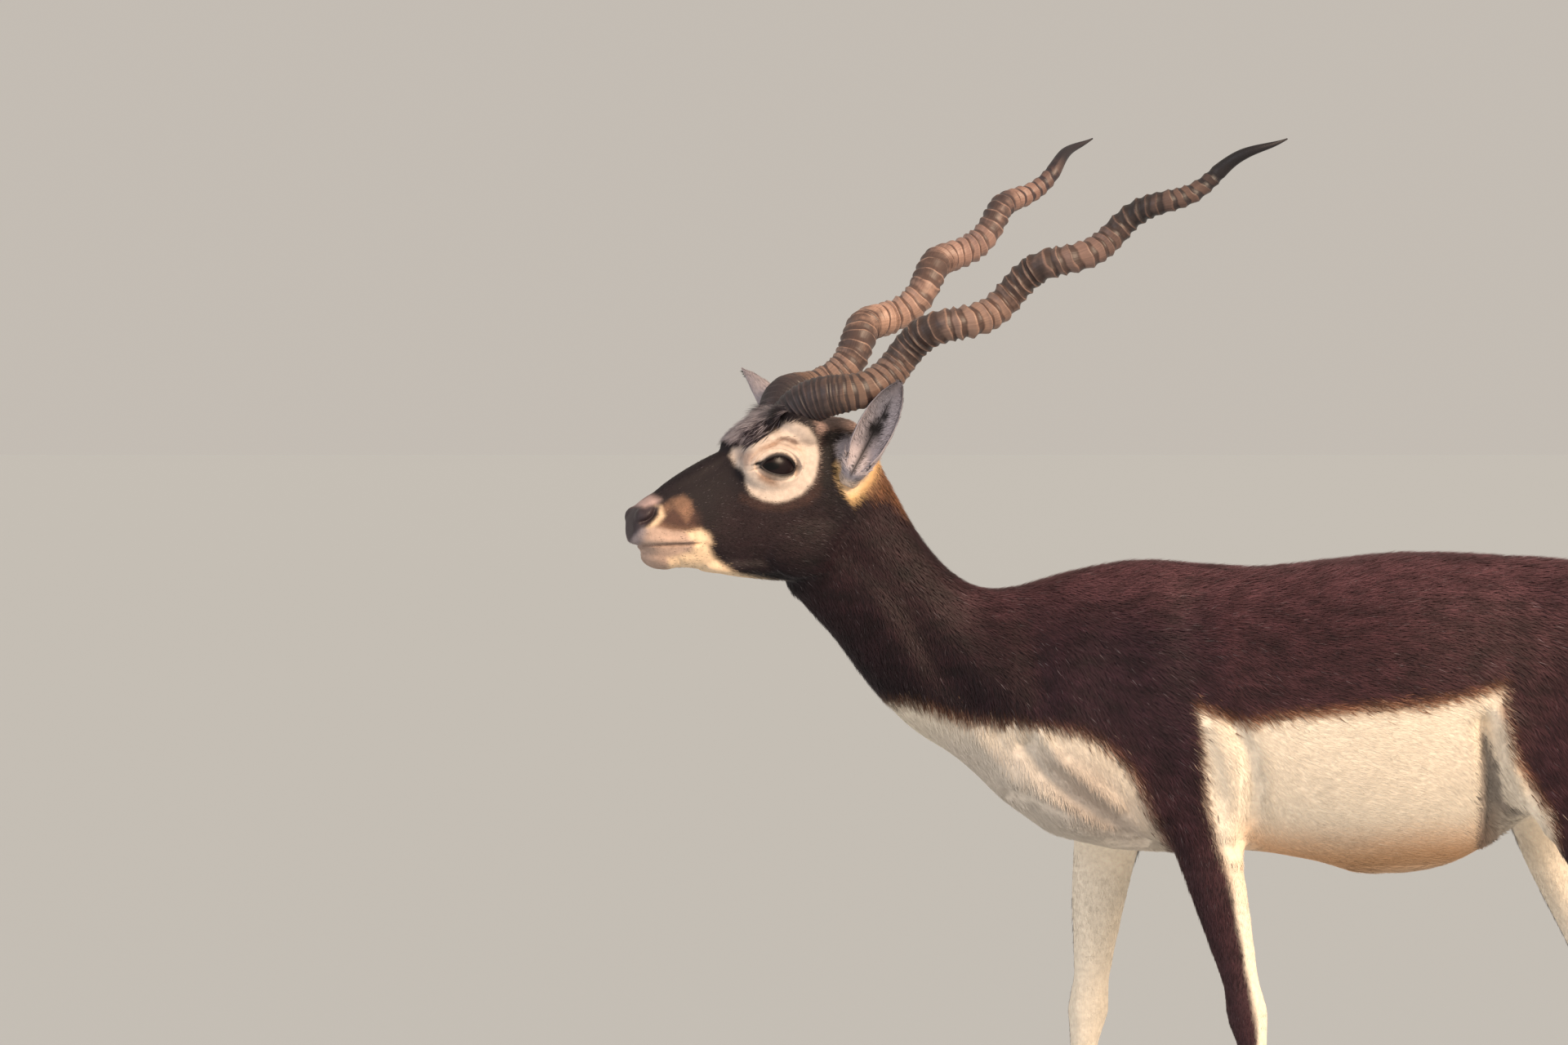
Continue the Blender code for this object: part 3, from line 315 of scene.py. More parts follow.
def swollen(node):
    """Points and faces of a solid, welded and grown outwards."""
    bm = bmesh.new()
    bm.from_mesh(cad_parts[node].data)
    bmesh.ops.remove_doubles(bm, verts=bm.verts, dist=1e-5)
    bm.normal_update()
    points = np.array([v.co + v.normal * SWELL for v in bm.verts])
    faces = [tuple(v.index for v in f.verts) for f in bm.faces]
    bm.free()
    return points, faces


def melted(name, parts, voxel):
    made = joined(name, parts)
    remesh = made.modifiers.new("melt", "REMESH")
    remesh.mode = "VOXEL"
    remesh.voxel_size = voxel
    return applied(made)


skin = melted("skin", head_parts + [swollen(node) for node in FLESH], VOXEL)
print("melted skin", len(skin.data.polygons), "faces")

# %% Smoothing and masks
def smoothstep(value, start, end):
    share = np.clip((np.asarray(value, float) - start) / (end - start), 0, 1)
    return share * share * (3 - 2 * share)


def edge_ends(mesh):
    ends = np.empty(len(mesh.edges) * 2, np.int32)
    mesh.edges.foreach_get("vertices", ends)
    return ends.reshape(-1, 2)


def relaxed(points, ends, strength, rounds):
    """Moves each point towards the mean of its neighbours, by its own strength."""
    first, second = ends[:, 0], ends[:, 1]
    count = np.bincount(ends.ravel(), minlength=len(points))
    for _ in range(rounds):
        mean = np.stack([(np.bincount(first, points[second, k], len(points))
                          + np.bincount(second, points[first, k], len(points))) / count for k in range(3)], 1)
        points = points + strength[:, None] * (mean - points)
    return points


def set_coordinates(mesh, points):
    mesh.vertices.foreach_set("co", np.asarray(points, np.float32).ravel())
    mesh.update()


def in_body(points):
    return np.asarray(points) - np.array(BODY.translation)


def in_head(points):
    return moved(points, HEAD.inverted())


NECK_PLANE = (np.array((-0.345, -0.015, 0.800)), np.array((0.820, 0.174, -0.546)))   # behind the jaw, body's frame


def head_share(points):
    """1 on the head, 0 on the body, with a soft step behind the jaw."""
    return smoothstep((in_body(points) - NECK_PLANE[0]) @ NECK_PLANE[1], 0.022, -0.012)


def leg_share(points):
    """1 on the thin legs, 0 on the trunk."""
    return smoothstep(in_body(points)[:, 2], 0.52, 0.42)


points = coordinates(skin.data)
strength = 0.62 - 0.54 * np.maximum(head_share(points), leg_share(points))
points = relaxed(points, edge_ends(skin.data), strength, 40)
# The sheath's start under the belly is rubbed once more.
UNDER_BELLY, UNDER_BELLY_SIZE = np.array((0.165, 0.452)), 0.060
distance = np.linalg.norm(in_body(points)[:, [0, 2]] - UNDER_BELLY, axis=1)
points = relaxed(points, edge_ends(skin.data), 0.6 * np.exp(-(distance / UNDER_BELLY_SIZE) ** 2), 120)
set_coordinates(skin.data, points)
print("rubbed smooth, strengths", round(strength.min(), 2), "to", round(strength.max(), 2))

# %% [markdown]
# ## More clay for the face
#
# The face needs a finer mesh than the flank. Its faces are split once everywhere and once more round the eye, the
# nose and the lips, and then drawn onto a second, finer melt of the same masses.

# %% Finer mesh on the head
FINE_VOXEL = 0.0017
fine_head = melted("fine_head", head_parts, FINE_VOXEL)
fine_points = coordinates(fine_head.data)
fine_points = relaxed(fine_points, edge_ends(fine_head.data), np.full(len(fine_points), 0.5), 5)
fine_tree = BVHTree.FromPolygons(fine_points.tolist(), [tuple(p.vertices) for p in fine_head.data.polygons])
bpy.data.objects.remove(fine_head)


def split_faces(obj, chosen):
    """Splits in four the faces whose corners are all chosen."""
    bm = bmesh.new()
    bm.from_mesh(obj.data)
    bm.verts.ensure_lookup_table()
    edges = [e for e in bm.edges if chosen[e.verts[0].index] and chosen[e.verts[1].index]]
    bmesh.ops.subdivide_edges(bm, edges=edges, cuts=1, use_grid_fill=True)
    bm.to_mesh(obj.data)
    bm.free()


def near(points, centre, radius):
    """Points near a place of the head's frame, on either side."""
    local = in_head(points)
    local[:, 1] = np.abs(local[:, 1])
    return np.linalg.norm(local - np.array(centre), axis=1) < radius


split_faces(skin, head_share(coordinates(skin.data)) > 0.3)
points = coordinates(skin.data)
split_faces(skin, near(points, EYE, 0.036) | near(points, (-0.215, 0.010, 0.790), 0.052))
points = coordinates(skin.data)
share = head_share(points)
for i in np.flatnonzero(share > 0.01):
    found = fine_tree.find_nearest(points[i])
    if found[0] is not None:
        pull = smoothstep(share[i], 0.05, 0.6)
        points[i] += pull * (np.array(found[0]) - points[i])
points = relaxed(points, edge_ends(skin.data), np.where(share > 0.02, 0.35, 0.0), 3)
set_coordinates(skin.data, points)
print("skin", len(skin.data.polygons), "faces,", int((share > 0.5).sum()), "points on the head")

# %% Draw the skin in by the depth of the coat
COAT_DEPTH = {"head": 0.0011, "leg": 0.0010, "trunk": 0.0034}    # metres from the hide to the coat's surface
skin.data.update()
points = coordinates(skin.data)
normals = vertex_normals(skin.data)
leg, head = leg_share(points), head_share(points)
depth = (COAT_DEPTH["trunk"] + leg * (COAT_DEPTH["leg"] - COAT_DEPTH["trunk"])) * (1 - head) + COAT_DEPTH["head"] * head
points -= normals * depth[:, None]

# %% [markdown]
# ## Creases and muscles of the body
#
# Loose skin folds where the legs swing, and muscles show under a short coat. Each fold is a line in the picture's
# pixels with a width and a depth: points near it move in along their normal, and a negative depth raises a ridge.
# The same folds go on the far side, because both sides of the body are laid on the side that the camera sees.

# %% Folds: half width in pixels, depth in millimetres, line
FOLDS = [
    (13, 16.0, [(1818, 886), (1822, 905), (1826, 940), (1830, 985), (1832, 1040)]),       # belly meets thigh
    (15, -7.0, [(1846, 884), (1852, 935), (1868, 980), (1890, 1020)]),                    # front edge of the thigh
    (12, 8.5, [(1256, 912), (1276, 940), (1310, 972), (1350, 1000), (1392, 1036)]),       # chest to brisket
    (9, -3.5, [(1276, 902), (1296, 930), (1330, 955), (1366, 985)]),                      # ridge above it
    (8, 4.0, [(1234, 968), (1270, 984), (1310, 998), (1350, 1022), (1385, 1050)]),        # over the brisket
    (12, -4.0, [(1200, 900), (1222, 930), (1240, 960)]),                                  # front of the chest
    (10, 6.5, [(1508, 884), (1526, 920), (1534, 960), (1532, 1000), (1520, 1040)]),       # behind the elbow
    (12, -3.0, [(1482, 890), (1500, 930), (1508, 975), (1502, 1020)]),                    # back edge of the upper leg
    (30, 3.2, [(1462, 740), (1458, 790), (1466, 830), (1470, 862)]),                      # behind the shoulder
    (30, -2.0, [(1412, 700), (1408, 750), (1414, 810)]),                                  # ridge of the shoulder blade
    (20, 4.0, [(1026, 668), (1070, 700), (1110, 752), (1140, 812), (1190, 862)]),         # groove down the neck
    (20, -4.0, [(1072, 742), (1094, 775), (1122, 815)]),                                  # muscle of the throat
    (22, -3.0, [(1130, 720), (1160, 770), (1200, 820), (1236, 850)]),                     # muscle above the groove
    (20, 3.0, [(1254, 760), (1262, 800), (1276, 850)]),                                   # neck meets shoulder
]


def distance_to(spots, line):
    """How far each spot lies from an open line, in pixels."""
    best = np.full(len(spots), 1e9)
    corners = np.array(line, float)
    for a, b in zip(corners, corners[1:]):
        run = b - a
        share = np.clip(((spots - a) @ run) / (run @ run), 0, 1)
        best = np.minimum(best, np.linalg.norm(spots - a - share[:, None] * run, axis=1))
    return best


def near_side(local, matrix):
    """Both sides of the body laid on the side that the camera sees."""
    folded = np.array(local)
    folded[:, 1] = -np.abs(folded[:, 1])
    return picture_points(moved(folded, matrix))


spots = near_side(in_body(points), BODY)
outer_side = smoothstep(normals[:, 1] * np.sign(in_body(points)[:, 1]), 0.05, 0.45)
for half_width, depth, line in FOLDS:
    bend = np.exp(-(distance_to(spots, line) / half_width) ** 2) * outer_side * (1 - head)
    points -= normals * (0.001 * depth * bend)[:, None]
print(len(FOLDS), "folds")

# %% [markdown]
# ## Eye sockets, nostrils and lips
#
# The eye shows through an almond slit in the lids. Points inside the almond sink behind the eyeball and points
# round it rest on a thin lid. The nostril is a comma-shaped pit, and the mouth a thin groove round the muzzle.

# %% Shape of eyeball and slit
EYEBALL = (0.0235, 0.0200, 0.0205)     # a little longer than high, so that the slit's corners still meet it
EYE_SLIT = (0.0190, 0.0101)            # half length and half height of the almond
SLIT_SHIFT = 0.0012                    # the almond sits a little behind the ball's middle
LID = 0.0016


def side_frame(local, centre):
    """Offsets from a paired place, with the second axis turned to point outwards on both sides."""
    side = np.where(local[:, 1] < 0, -1.0, 1.0)
    return np.stack([local[:, 0] - centre[0], local[:, 1] * side - centre[1], local[:, 2] - centre[2]], 1), side


def almond_edge(along):
    """Height of the slit's middle line, and half its height there."""
    cos = np.clip((along - SLIT_SHIFT) / EYE_SLIT[0], -1, 1)
    half = EYE_SLIT[1] * (1 - cos * cos) ** 0.68
    return 0.0010 - 0.07 * along - 0.0020 * cos * cos, half


def almond_outline(count):
    """Points round the slit: how far along, its upper or lower edge, and the angle round it."""
    angles = np.linspace(0, 2 * np.pi, count + 1)
    along = SLIT_SHIFT + EYE_SLIT[0] * np.cos(angles)
    middle, half = almond_edge(along)
    return along, middle + np.where(np.sin(angles) > 0, half, -half), angles


ALMOND = np.stack(almond_outline(48)[:2], 1)


def outside_slit(rel):
    """How far outside the almond a point lies, seen from the side; negative within it."""
    gap = np.full(len(rel), 1.0)
    close = (np.abs(rel[:, 0]) < 0.045) & (np.abs(rel[:, 2]) < 0.040)
    gap[close] = distance_to(rel[close][:, [0, 2]], ALMOND)
    middle, half = almond_edge(rel[:, 0])
    within = (np.abs(rel[:, 2] - middle) < half) & (np.abs(rel[:, 0] - SLIT_SHIFT) < EYE_SLIT[0])
    return np.where(within, -gap, gap)


def eyeball_height(along, up):
    """How far out the surface of the eyeball stands from its middle plane."""
    inside = 1 - (along / EYEBALL[0]) ** 2 - (up / EYEBALL[2]) ** 2
    return EYEBALL[1] * np.sqrt(np.maximum(inside, 0))


def bell(value, width):
    return np.exp(-(np.asarray(value) / width) ** 2)


# %% Sculpt the sockets
local = in_head(points)
rel, side = side_frame(local, EYE)
outside = outside_slit(rel)
near_eye = (np.abs(rel[:, 0]) < 0.036) & (np.abs(rel[:, 2]) < 0.030) & (rel[:, 1] > -0.004)
soft_edge = near_eye * smoothstep(np.abs(rel[:, 0]), 0.035, 0.026) * smoothstep(np.abs(rel[:, 2]), 0.030, 0.024)
ball = eyeball_height(rel[:, 0], rel[:, 2])
upper = rel[:, 2] > almond_edge(rel[:, 0])[0]
lid = LID + 0.0013 * bell(outside - 0.0030, 0.0024)
wanted = ball - 0.0024 + (lid + 0.0024) * smoothstep(outside, -0.0010, 0.0003)
hold = smoothstep(outside, 0.0075, 0.0018) * near_eye
out = rel[:, 1] + hold * (wanted - rel[:, 1])
out = np.where(near_eye & (outside > 0.0003) & (ball > 0.004), np.maximum(out, ball + 0.0010), out)
fold = np.where(upper, 0.0008, 0.0001) * bell(outside - 0.0054, 0.0012)
second_fold = np.where(upper, 0.0006, 0.0) * bell(outside - 0.0105, 0.0014)
brow = np.where(upper, 0.0014, 0.0) * bell(outside - 0.0135, 0.0034)
out += (brow - fold - second_fold) * soft_edge
tear = bell(rel[:, 2] + 0.0026 - 0.35 * (rel[:, 0] + 0.0215), 0.0010) * smoothstep(rel[:, 0], -0.031, -0.024)
out -= 0.0016 * tear * smoothstep(rel[:, 0], -0.0165, -0.0200) * near_eye
local[:, 1] = np.where(near_eye, (out + EYE[1]) * side, local[:, 1])

# %% Sculpt nostrils, lips and chin
NOSTRIL = (-0.2275, 0.0170, 0.8070)
NOSTRIL_SIZE = (0.0095, 0.0027)        # half length and half height of the comma
NOSTRIL_TILT = math.radians(34)        # it rises backwards


def comma(rel):
    """Along and across the bent line of the nostril."""
    run = rel[:, 0] * math.cos(NOSTRIL_TILT) + rel[:, 2] * math.sin(NOSTRIL_TILT)
    lift = -rel[:, 0] * math.sin(NOSTRIL_TILT) + rel[:, 2] * math.cos(NOSTRIL_TILT)
    return run, lift - 26.0 * run ** 2


rel, side = side_frame(local, NOSTRIL)
run, lift = comma(rel)
at_nose = (np.abs(rel[:, 1]) < 0.013) * smoothstep(local[:, 0], -0.2405, -0.2350)
pit = bell(run / NOSTRIL_SIZE[0], 1.0) ** 0.7 * bell(lift / NOSTRIL_SIZE[1], 1.0) * at_nose
wing = bell((run - 0.003) / 0.0100, 1.0) * bell((lift - 0.0058) / 0.0030, 1.0) * at_nose
local += np.stack([0.0016 * pit, -side * (0.0062 * pit - 0.0015 * wing), 0 * side], 1)

MOUTH = ((-0.238, 0.7802), (-0.173, 0.7815))      # x, z of the lips' line under the nose and at its corner
share = np.clip((local[:, 0] - MOUTH[0][0]) / (MOUTH[1][0] - MOUTH[0][0]), 0, 1)
mouth_height = MOUTH[0][1] + (MOUTH[1][1] - MOUTH[0][1]) * share
groove = bell(local[:, 2] - mouth_height, 0.0014) * smoothstep(local[:, 0], -0.171, -0.177)
flews = bell(local[:, 2] - mouth_height - 0.0046, 0.0036) * smoothstep(local[:, 0], -0.171, -0.190)
chin_fold = bell(local[:, 0] + 0.187 + 0.9 * (local[:, 2] - 0.758), 0.0022) * smoothstep(local[:, 2], 0.770, 0.762)
outward = np.stack([np.minimum(local[:, 0] + 0.205, 0), local[:, 1], 0 * local[:, 0]], 1)
outward /= np.maximum(np.linalg.norm(outward, axis=1), 1e-6)[:, None]
local += outward * (0.0009 * flews - 0.0026 * groove - 0.0012 * chin_fold)[:, None]
share = head_share(points)[:, None]
points = np.where(share > 0.3, moved(local, HEAD), points)
set_coordinates(skin.data, points)
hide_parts("head", *FLESH)
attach(skin, "root")
print("sculpted eyes, nostrils and mouth")

# %% [markdown]
# ## Colours and markings
#
# A grown male is nearly black on the outside, white on the chest, the belly, the chin and round the eye, with a
# rusty fringe where the two meet. Each marking is an outline in the picture's own pixels, laid on the near side
# and mirrored to the far side. Later markings cover earlier ones, as a painter lays light over dark.

# %% Colours of the coat, in sRGB
def linear(code):
    """A colour from its sRGB hex code."""
    values = [int(code[i:i + 2], 16) / 255 for i in (1, 3, 5)]
    return np.array([v / 12.92 if v <= 0.04045 else ((v + 0.055) / 1.055) ** 2.4 for v in values])


COAT = {
    "back": "#5a3b41", "flank": "#41262b", "shoulder": "#2d1822", "neck": "#2b171c", "low neck": "#1f0e15",
    "face": "#160b12", "cheek": "#27161a", "white": "#fff1dc", "eye white": "#dac8ba", "cream": "#fbdcb8",
    "rust": "#b47c52", "tan": "#a07a62", "gold": "#f2c78c", "grey": "#958c92", "pale grey": "#b9afb4",
    "black": "#150f10", "nose": "#3b2f34", "nose top": "#bda29d", "nape": "#b0948a", "brown": "#5c3f35",
    "lip": "#c6aa9a", "slate": "#443b46", "amber": "#e4a56a",
}
COAT = {name: linear(code) for name, code in COAT.items()}
print(len(COAT), "coat colours")

# %% Outlines of the markings, in pixels: colour, softness of the edge in pixels, strength, outline
CHEST_LINE = [(1060, 858), (1110, 860), (1140, 868), (1180, 880), (1240, 885), (1280, 890), (1315, 896),
              (1340, 908), (1366, 930), (1382, 948), (1390, 966), (1402, 995), (1414, 1020), (1428, 1050),
              (1458, 1130), (1476, 1190)]
STRIPE_BACK = [(1462, 868), (1468, 900), (1472, 940), (1476, 980), (1484, 1010), (1498, 1050), (1512, 1090),
               (1524, 1110)]
FLANK_LINE = [(1462, 868), (1520, 888), (1560, 880), (1620, 876), (1680, 870), (1740, 866), (1780, 858),
              (1820, 845), (1835, 840), (1838, 870), (1850, 930), (1870, 960), (1890, 990), (1905, 1040),
              (1900, 1110)]
CHEST = CHEST_LINE + [(1480, 1300), (1000, 1300), (1000, 858)]
BELLY = FLANK_LINE + STRIPE_BACK[::-1][:-1]
BODY_MARKS = [
    ("back", 50, 0.9, [(1180, 600), (1500, 600), (2200, 600), (2240, 760), (1980, 735), (1500, 735), (1180, 740)]),
    ("shoulder", 40, 0.9, [(1300, 750), (1460, 750), (1480, 880), (1460, 1000), (1360, 900), (1260, 880)]),
    ("rust", 13, 0.42, [(x + 3, y - 6) for x, y in CHEST]),
    ("rust", 13, 0.80, [(x, y - 7) for x, y in BELLY]),
    ("white", 9, 1.0, CHEST),
    ("white", 9, 1.0, BELLY),
    # Painted shade over the chest, which turns from the light: greyer all over and tan in the fold over the brisket.
    ("pale grey", 30, 0.28, [(1140, 890), (1300, 905), (1390, 985), (1410, 1050), (1260, 1030), (1150, 970)]),
    ("tan", 35, 0.42, [(1290, 925), (1345, 935), (1385, 985), (1400, 1030), (1350, 1020), (1300, 980)]),
    ("rust", 8, 0.42, [(1056, 560), (1072, 546), (1090, 562), (1106, 600), (1110, 632), (1086, 606), (1058, 608)]),
    # Painted shade: the underside of the belly, turned from the light, is drawn warm amber.
    ("amber", 34, 0.85, [(1530, 1020), (1640, 1030), (1800, 1020), (1830, 1000), (1830, 1120), (1530, 1120)]),
    # Painted shadow: the deep gap between the belly and the thigh is drawn dark slate, over its sculpted crease.
    ("slate", 4, 0.68, [(1810, 886), (1818, 900), (1832, 935), (1841, 983), (1878, 1004), (1880, 1040), (1806, 1040),
                        (1807, 990), (1808, 940)]),
]
EYE_PATCH = [(893, 558), (897, 549), (906, 546), (920, 543), (935, 535), (950, 528), (960, 519), (975, 518),
             (990, 524), (1000, 538), (1003, 560), (999, 582), (994, 593), (981, 606), (965, 613), (950, 616),
             (935, 613), (920, 607), (914, 598), (912, 583), (908, 575), (900, 571)]
NOSE_PAD = [(755, 632), (764, 624), (776, 620), (790, 622), (801, 618), (808, 622), (804, 631), (795, 641),
            (784, 647), (776, 655), (771, 664), (770, 672), (755, 672)]
HEAD_MARKS = [
    ("cheek", 22, 0.8, [(890, 610), (950, 622), (1010, 610), (1030, 650), (990, 690), (900, 690), (870, 650)]),
    ("brown", 11, 0.75, [(806, 630), (818, 624), (842, 620), (854, 634), (853, 650), (838, 649), (806, 645)]),
    ("tan", 5, 0.60, [(822, 612), (836, 607), (846, 614), (848, 628), (840, 640), (833, 630), (826, 622)]),
    ("tan", 5, 0.45, [(806, 622), (820, 614), (824, 622), (812, 632)]),
    ("tan", 6, 0.5, [(796, 650), (806, 640), (830, 646), (858, 646), (856, 654), (800, 658)]),
    ("nose top", 6, 0.9, [(770, 622), (776, 612), (796, 606), (808, 612), (803, 620), (790, 624), (776, 624)]),
    # The pale rim behind the nostril: its own cream colour, with a painted highlight along it.
    ("cream", 4, 0.75, [(802, 620), (810, 620), (814, 632), (806, 642), (794, 652), (790, 648), (798, 640),
                       (806, 630)]),
    ("lip", 4, 0.95, [(788, 648), (801, 645), (823, 650), (840, 651), (850, 655), (852, 664), (813, 667),
                      (768, 671), (774, 658)]),
    ("grey", 5, 0.75, [(786, 642), (792, 650), (788, 662), (782, 671), (764, 671), (772, 654)]),
    ("nose", 4, 1.0, NOSE_PAD),
    ("cream", 5, 0.9, [(840, 652), (858, 648), (868, 654), (872, 666), (855, 664), (846, 660)]),
    ("lip", 5, 0.9, [(770, 671), (813, 668), (855, 666), (860, 676), (850, 700), (825, 735), (800, 735),
                     (775, 700)]),
    ("cream", 5, 0.95, [(818, 684), (846, 676), (856, 660), (867, 667), (873, 682), (886, 693), (898, 701),
                        (910, 707), (926, 711), (920, 735), (820, 735)]),
    # Painted shade: the front of the lower lip and the chin under the mouth are drawn browner.
    ("brown", 16, 0.12, [(778, 668), (800, 666), (826, 670), (836, 690), (826, 712), (790, 712), (776, 690)]),
    ("cream", 3, 0.70, [(890, 700), (926, 706), (962, 713), (962, 724), (926, 722), (890, 716)]),
    ("brown", 4, 0.35, [(1000, 528), (1009, 540), (1011, 580), (1004, 603), (990, 617), (960, 627), (930, 625),
                       (904, 613), (906, 604), (930, 612), (960, 614), (990, 602), (1000, 580)]),
    ("eye white", 3.5, 1.0, EYE_PATCH),
    ("grey", 5, 0.40, [(900, 548), (918, 552), (926, 562), (914, 574), (904, 564)]),
    ("tan", 5, 0.40, [(928, 572), (942, 578), (950, 588), (940, 594), (930, 586)]),
    ("tan", 4, 0.45, [(905, 556), (925, 552), (935, 545), (950, 540), (950, 545), (930, 556), (912, 574)]),
    ("brown", 2.5, 0.8, [(952, 537), (962, 535), (974, 538), (979, 544), (972, 545), (962, 540), (953, 541)]),
    ("tan", 3, 0.6, [(938, 550), (944, 543), (954, 538), (956, 541), (946, 548)]),
    ("tan", 4, 0.5, [(926, 580), (938, 582), (950, 590), (955, 597), (944, 596), (932, 588)]),
    ("tan", 3, 0.35, [(928, 548), (950, 541), (968, 543), (985, 552), (980, 553), (950, 546), (932, 553)]),
    ("black", 1.6, 1.0, [(920, 570), (926, 566), (934, 564), (934, 570)]),
    ("tan", 4, 0.35, [(930, 578), (950, 584), (960, 590), (945, 592), (930, 588)]),
    ("nape", 6, 0.95, [(996, 514), (1008, 500), (1040, 500), (1060, 516), (1052, 526), (1030, 527), (1012, 523),
                       (1004, 534)]),
    ("lip", 4, 0.6, [(1006, 506), (1020, 500), (1040, 504), (1050, 514), (1030, 512)]),
    ("black", 4, 0.95, [(1006, 534), (1017, 527), (1024, 532), (1019, 562), (1016, 582), (1010, 596), (1003, 594),
                        (1005, 560)]),
    ("tan", 9, 0.8, [(1056, 560), (1072, 546), (1090, 560), (1104, 600), (1108, 630), (1086, 604), (1060, 606)]),
    ("gold", 6, 0.95, [(1022, 570), (1032, 558), (1070, 554), (1076, 564), (1070, 590), (1056, 606), (1042, 617),
                       (1030, 602), (1023, 586)]),
    ("cream", 6, 0.8, [(1026, 590), (1040, 584), (1056, 572), (1064, 566), (1062, 586), (1048, 604), (1036, 606)]),
    ("pale grey", 4, 0.90, [(1021, 545), (1032, 530), (1056, 560), (1054, 578), (1042, 588), (1033, 580), (1027, 566)]),
]
print(len(BODY_MARKS), "body markings,", len(HEAD_MARKS), "head markings")


# %% Painting
def inside_distance(spots, outline):
    """How far inside an outline each spot lies, in pixels; negative outside."""
    corners = np.array(outline, float)
    best = np.full(len(spots), 1e9)
    crossings = np.zeros(len(spots), int)
    for a, b in zip(corners, np.roll(corners, -1, axis=0)):
        run = b - a
        share = np.clip(((spots - a) @ run) / max(run @ run, 1e-9), 0, 1)
        best = np.minimum(best, np.linalg.norm(spots - a - share[:, None] * run, axis=1))
        spans = (a[1] > spots[:, 1]) != (b[1] > spots[:, 1])
        with np.errstate(divide="ignore", invalid="ignore"):
            cut = a[0] + (spots[:, 1] - a[1]) / (b[1] - a[1]) * run[0]
        crossings += spans & (spots[:, 0] < cut)
    return np.where(crossings % 2 == 1, best, -best)


def ragged(spots, reach, seed=5):
    """Shifts each tuft's place a little, a few by more, so that markings end in hairs and not in a line."""
    rng = np.random.default_rng(seed)
    reach = reach * np.where(rng.uniform(0, 1, len(spots)) < 0.08, 3.0, 1.0)[:, None]
    return spots + reach * rng.normal(0, 1, spots.shape)


def layered(colours, spots, marks):
    for name, soft, strength, outline in marks:
        amount = strength * smoothstep(inside_distance(spots, outline), -soft, soft)[:, None]
        colours = colours + amount * (COAT[name] - colours)
    return colours


def leg_rule(points, normals):
    """Dark on the front and outer side of each leg, pale within: 1 where dark."""
    body = in_body(points)
    facing_out = normals[:, 1] * np.sign(body[:, 1])
    return smoothstep(-normals[:, 0] * 0.8 + facing_out * 0.6, 0.12, 0.46) * smoothstep(facing_out, -0.15, 0.15)


def painted(points, normals, on_hair=False):
    """The colour of hide and hair at any place; on hair the markings end raggedly."""
    body, head = in_body(points), in_head(points)
    spots = ragged(near_side(body, BODY), 2.2 * on_hair)
    # Painted shade: low on the neck and the front of the body the coat darkens to the low neck colour, where the throat
    # lies in shade.
    low = smoothstep(body[:, 2], 0.72, 0.60)[:, None]
    front = smoothstep(body[:, 0], -0.02, -0.22)[:, None]
    trunk = COAT["flank"] + front * (COAT["neck"] + low * (COAT["low neck"] - COAT["neck"]) - COAT["flank"])
    trunk = layered(np.broadcast_to(trunk, points.shape), spots, BODY_MARKS)
    # White between the thighs, under the tail and on the inner side of the upper legs.
    facing_out = normals[:, 1] * np.sign(body[:, 1])
    between = smoothstep(normals[:, 0], 0.15, 0.55) * smoothstep(np.abs(body[:, 1]), 0.062, 0.040)
    between *= smoothstep(body[:, 2], 0.745, 0.715) * smoothstep(body[:, 0], 0.40, 0.46)
    inner = smoothstep(facing_out, -0.02, -0.30) * smoothstep(body[:, 2], 0.62, 0.56)
    crotch = smoothstep(np.abs(body[:, 1]), 0.055, 0.040) * smoothstep(body[:, 2], 0.62, 0.58)
    crotch *= smoothstep(body[:, 0], 0.30, 0.36)
    trunk = trunk + np.maximum(np.maximum(between, inner), crotch)[:, None] * (COAT["white"] - trunk)
    dark = leg_rule(points, normals)[:, None]
    legs = COAT["white"] + dark * (COAT["flank"] - COAT["white"])
    on_leg = smoothstep(body[:, 2], 0.47, 0.41)[:, None]
    trunk = trunk + on_leg * (legs - trunk)
    face_spots = ragged(near_side(head, HEAD), 1.0 * on_hair)
    face = layered(np.broadcast_to(COAT["face"], points.shape), face_spots, HEAD_MARKS)
    rel, _ = side_frame(head, EYE)
    round_eye = smoothstep(outside_slit(rel), 0.0036, 0.0014) * (np.abs(rel[:, 1]) < 0.03)
    face = face + 0.85 * round_eye[:, None] * (COAT["black"] - face)
    share = head_share(points)[:, None]
    return trunk + share * (face - trunk)


def colour_attribute(mesh, name, colours):
    layer = mesh.color_attributes.new(name, "FLOAT_COLOR", "POINT")
    values = np.ones((len(colours), 4), np.float32)
    values[:, :colours.shape[1]] = colours
    layer.data.foreach_set("color", values.ravel())


def bare_skin(points):
    """1 where no hair grows: the nose pad and the eyeball's place."""
    local = in_head(points)
    rel, _ = side_frame(local, EYE)
    eye = (outside_slit(rel) < 0.0010) & (np.linalg.norm(rel, axis=1) < 0.028)
    pad = (inside_distance(near_side(local, HEAD), NOSE_PAD) > 2) & (local[:, 0] < -0.20)
    return eye | (pad & (head_share(points) > 0.5))


skin.data.update()
points, normals = coordinates(skin.data), vertex_normals(skin.data)
colours = painted(points, normals)
colour_attribute(skin.data, "coat", colours)
bare = bare_skin(points).astype(float)
colour_attribute(skin.data, "bare", np.repeat(relaxed(bare[:, None].repeat(3, 1), edge_ends(skin.data),
                                                      np.full(len(bare), 0.5), 3)[:, :1], 3, 1))
print("painted skin")

# %% [markdown]
# ## Materials
#
# One small function adds a node with its settings and its links. Each material is named for what it is made of.

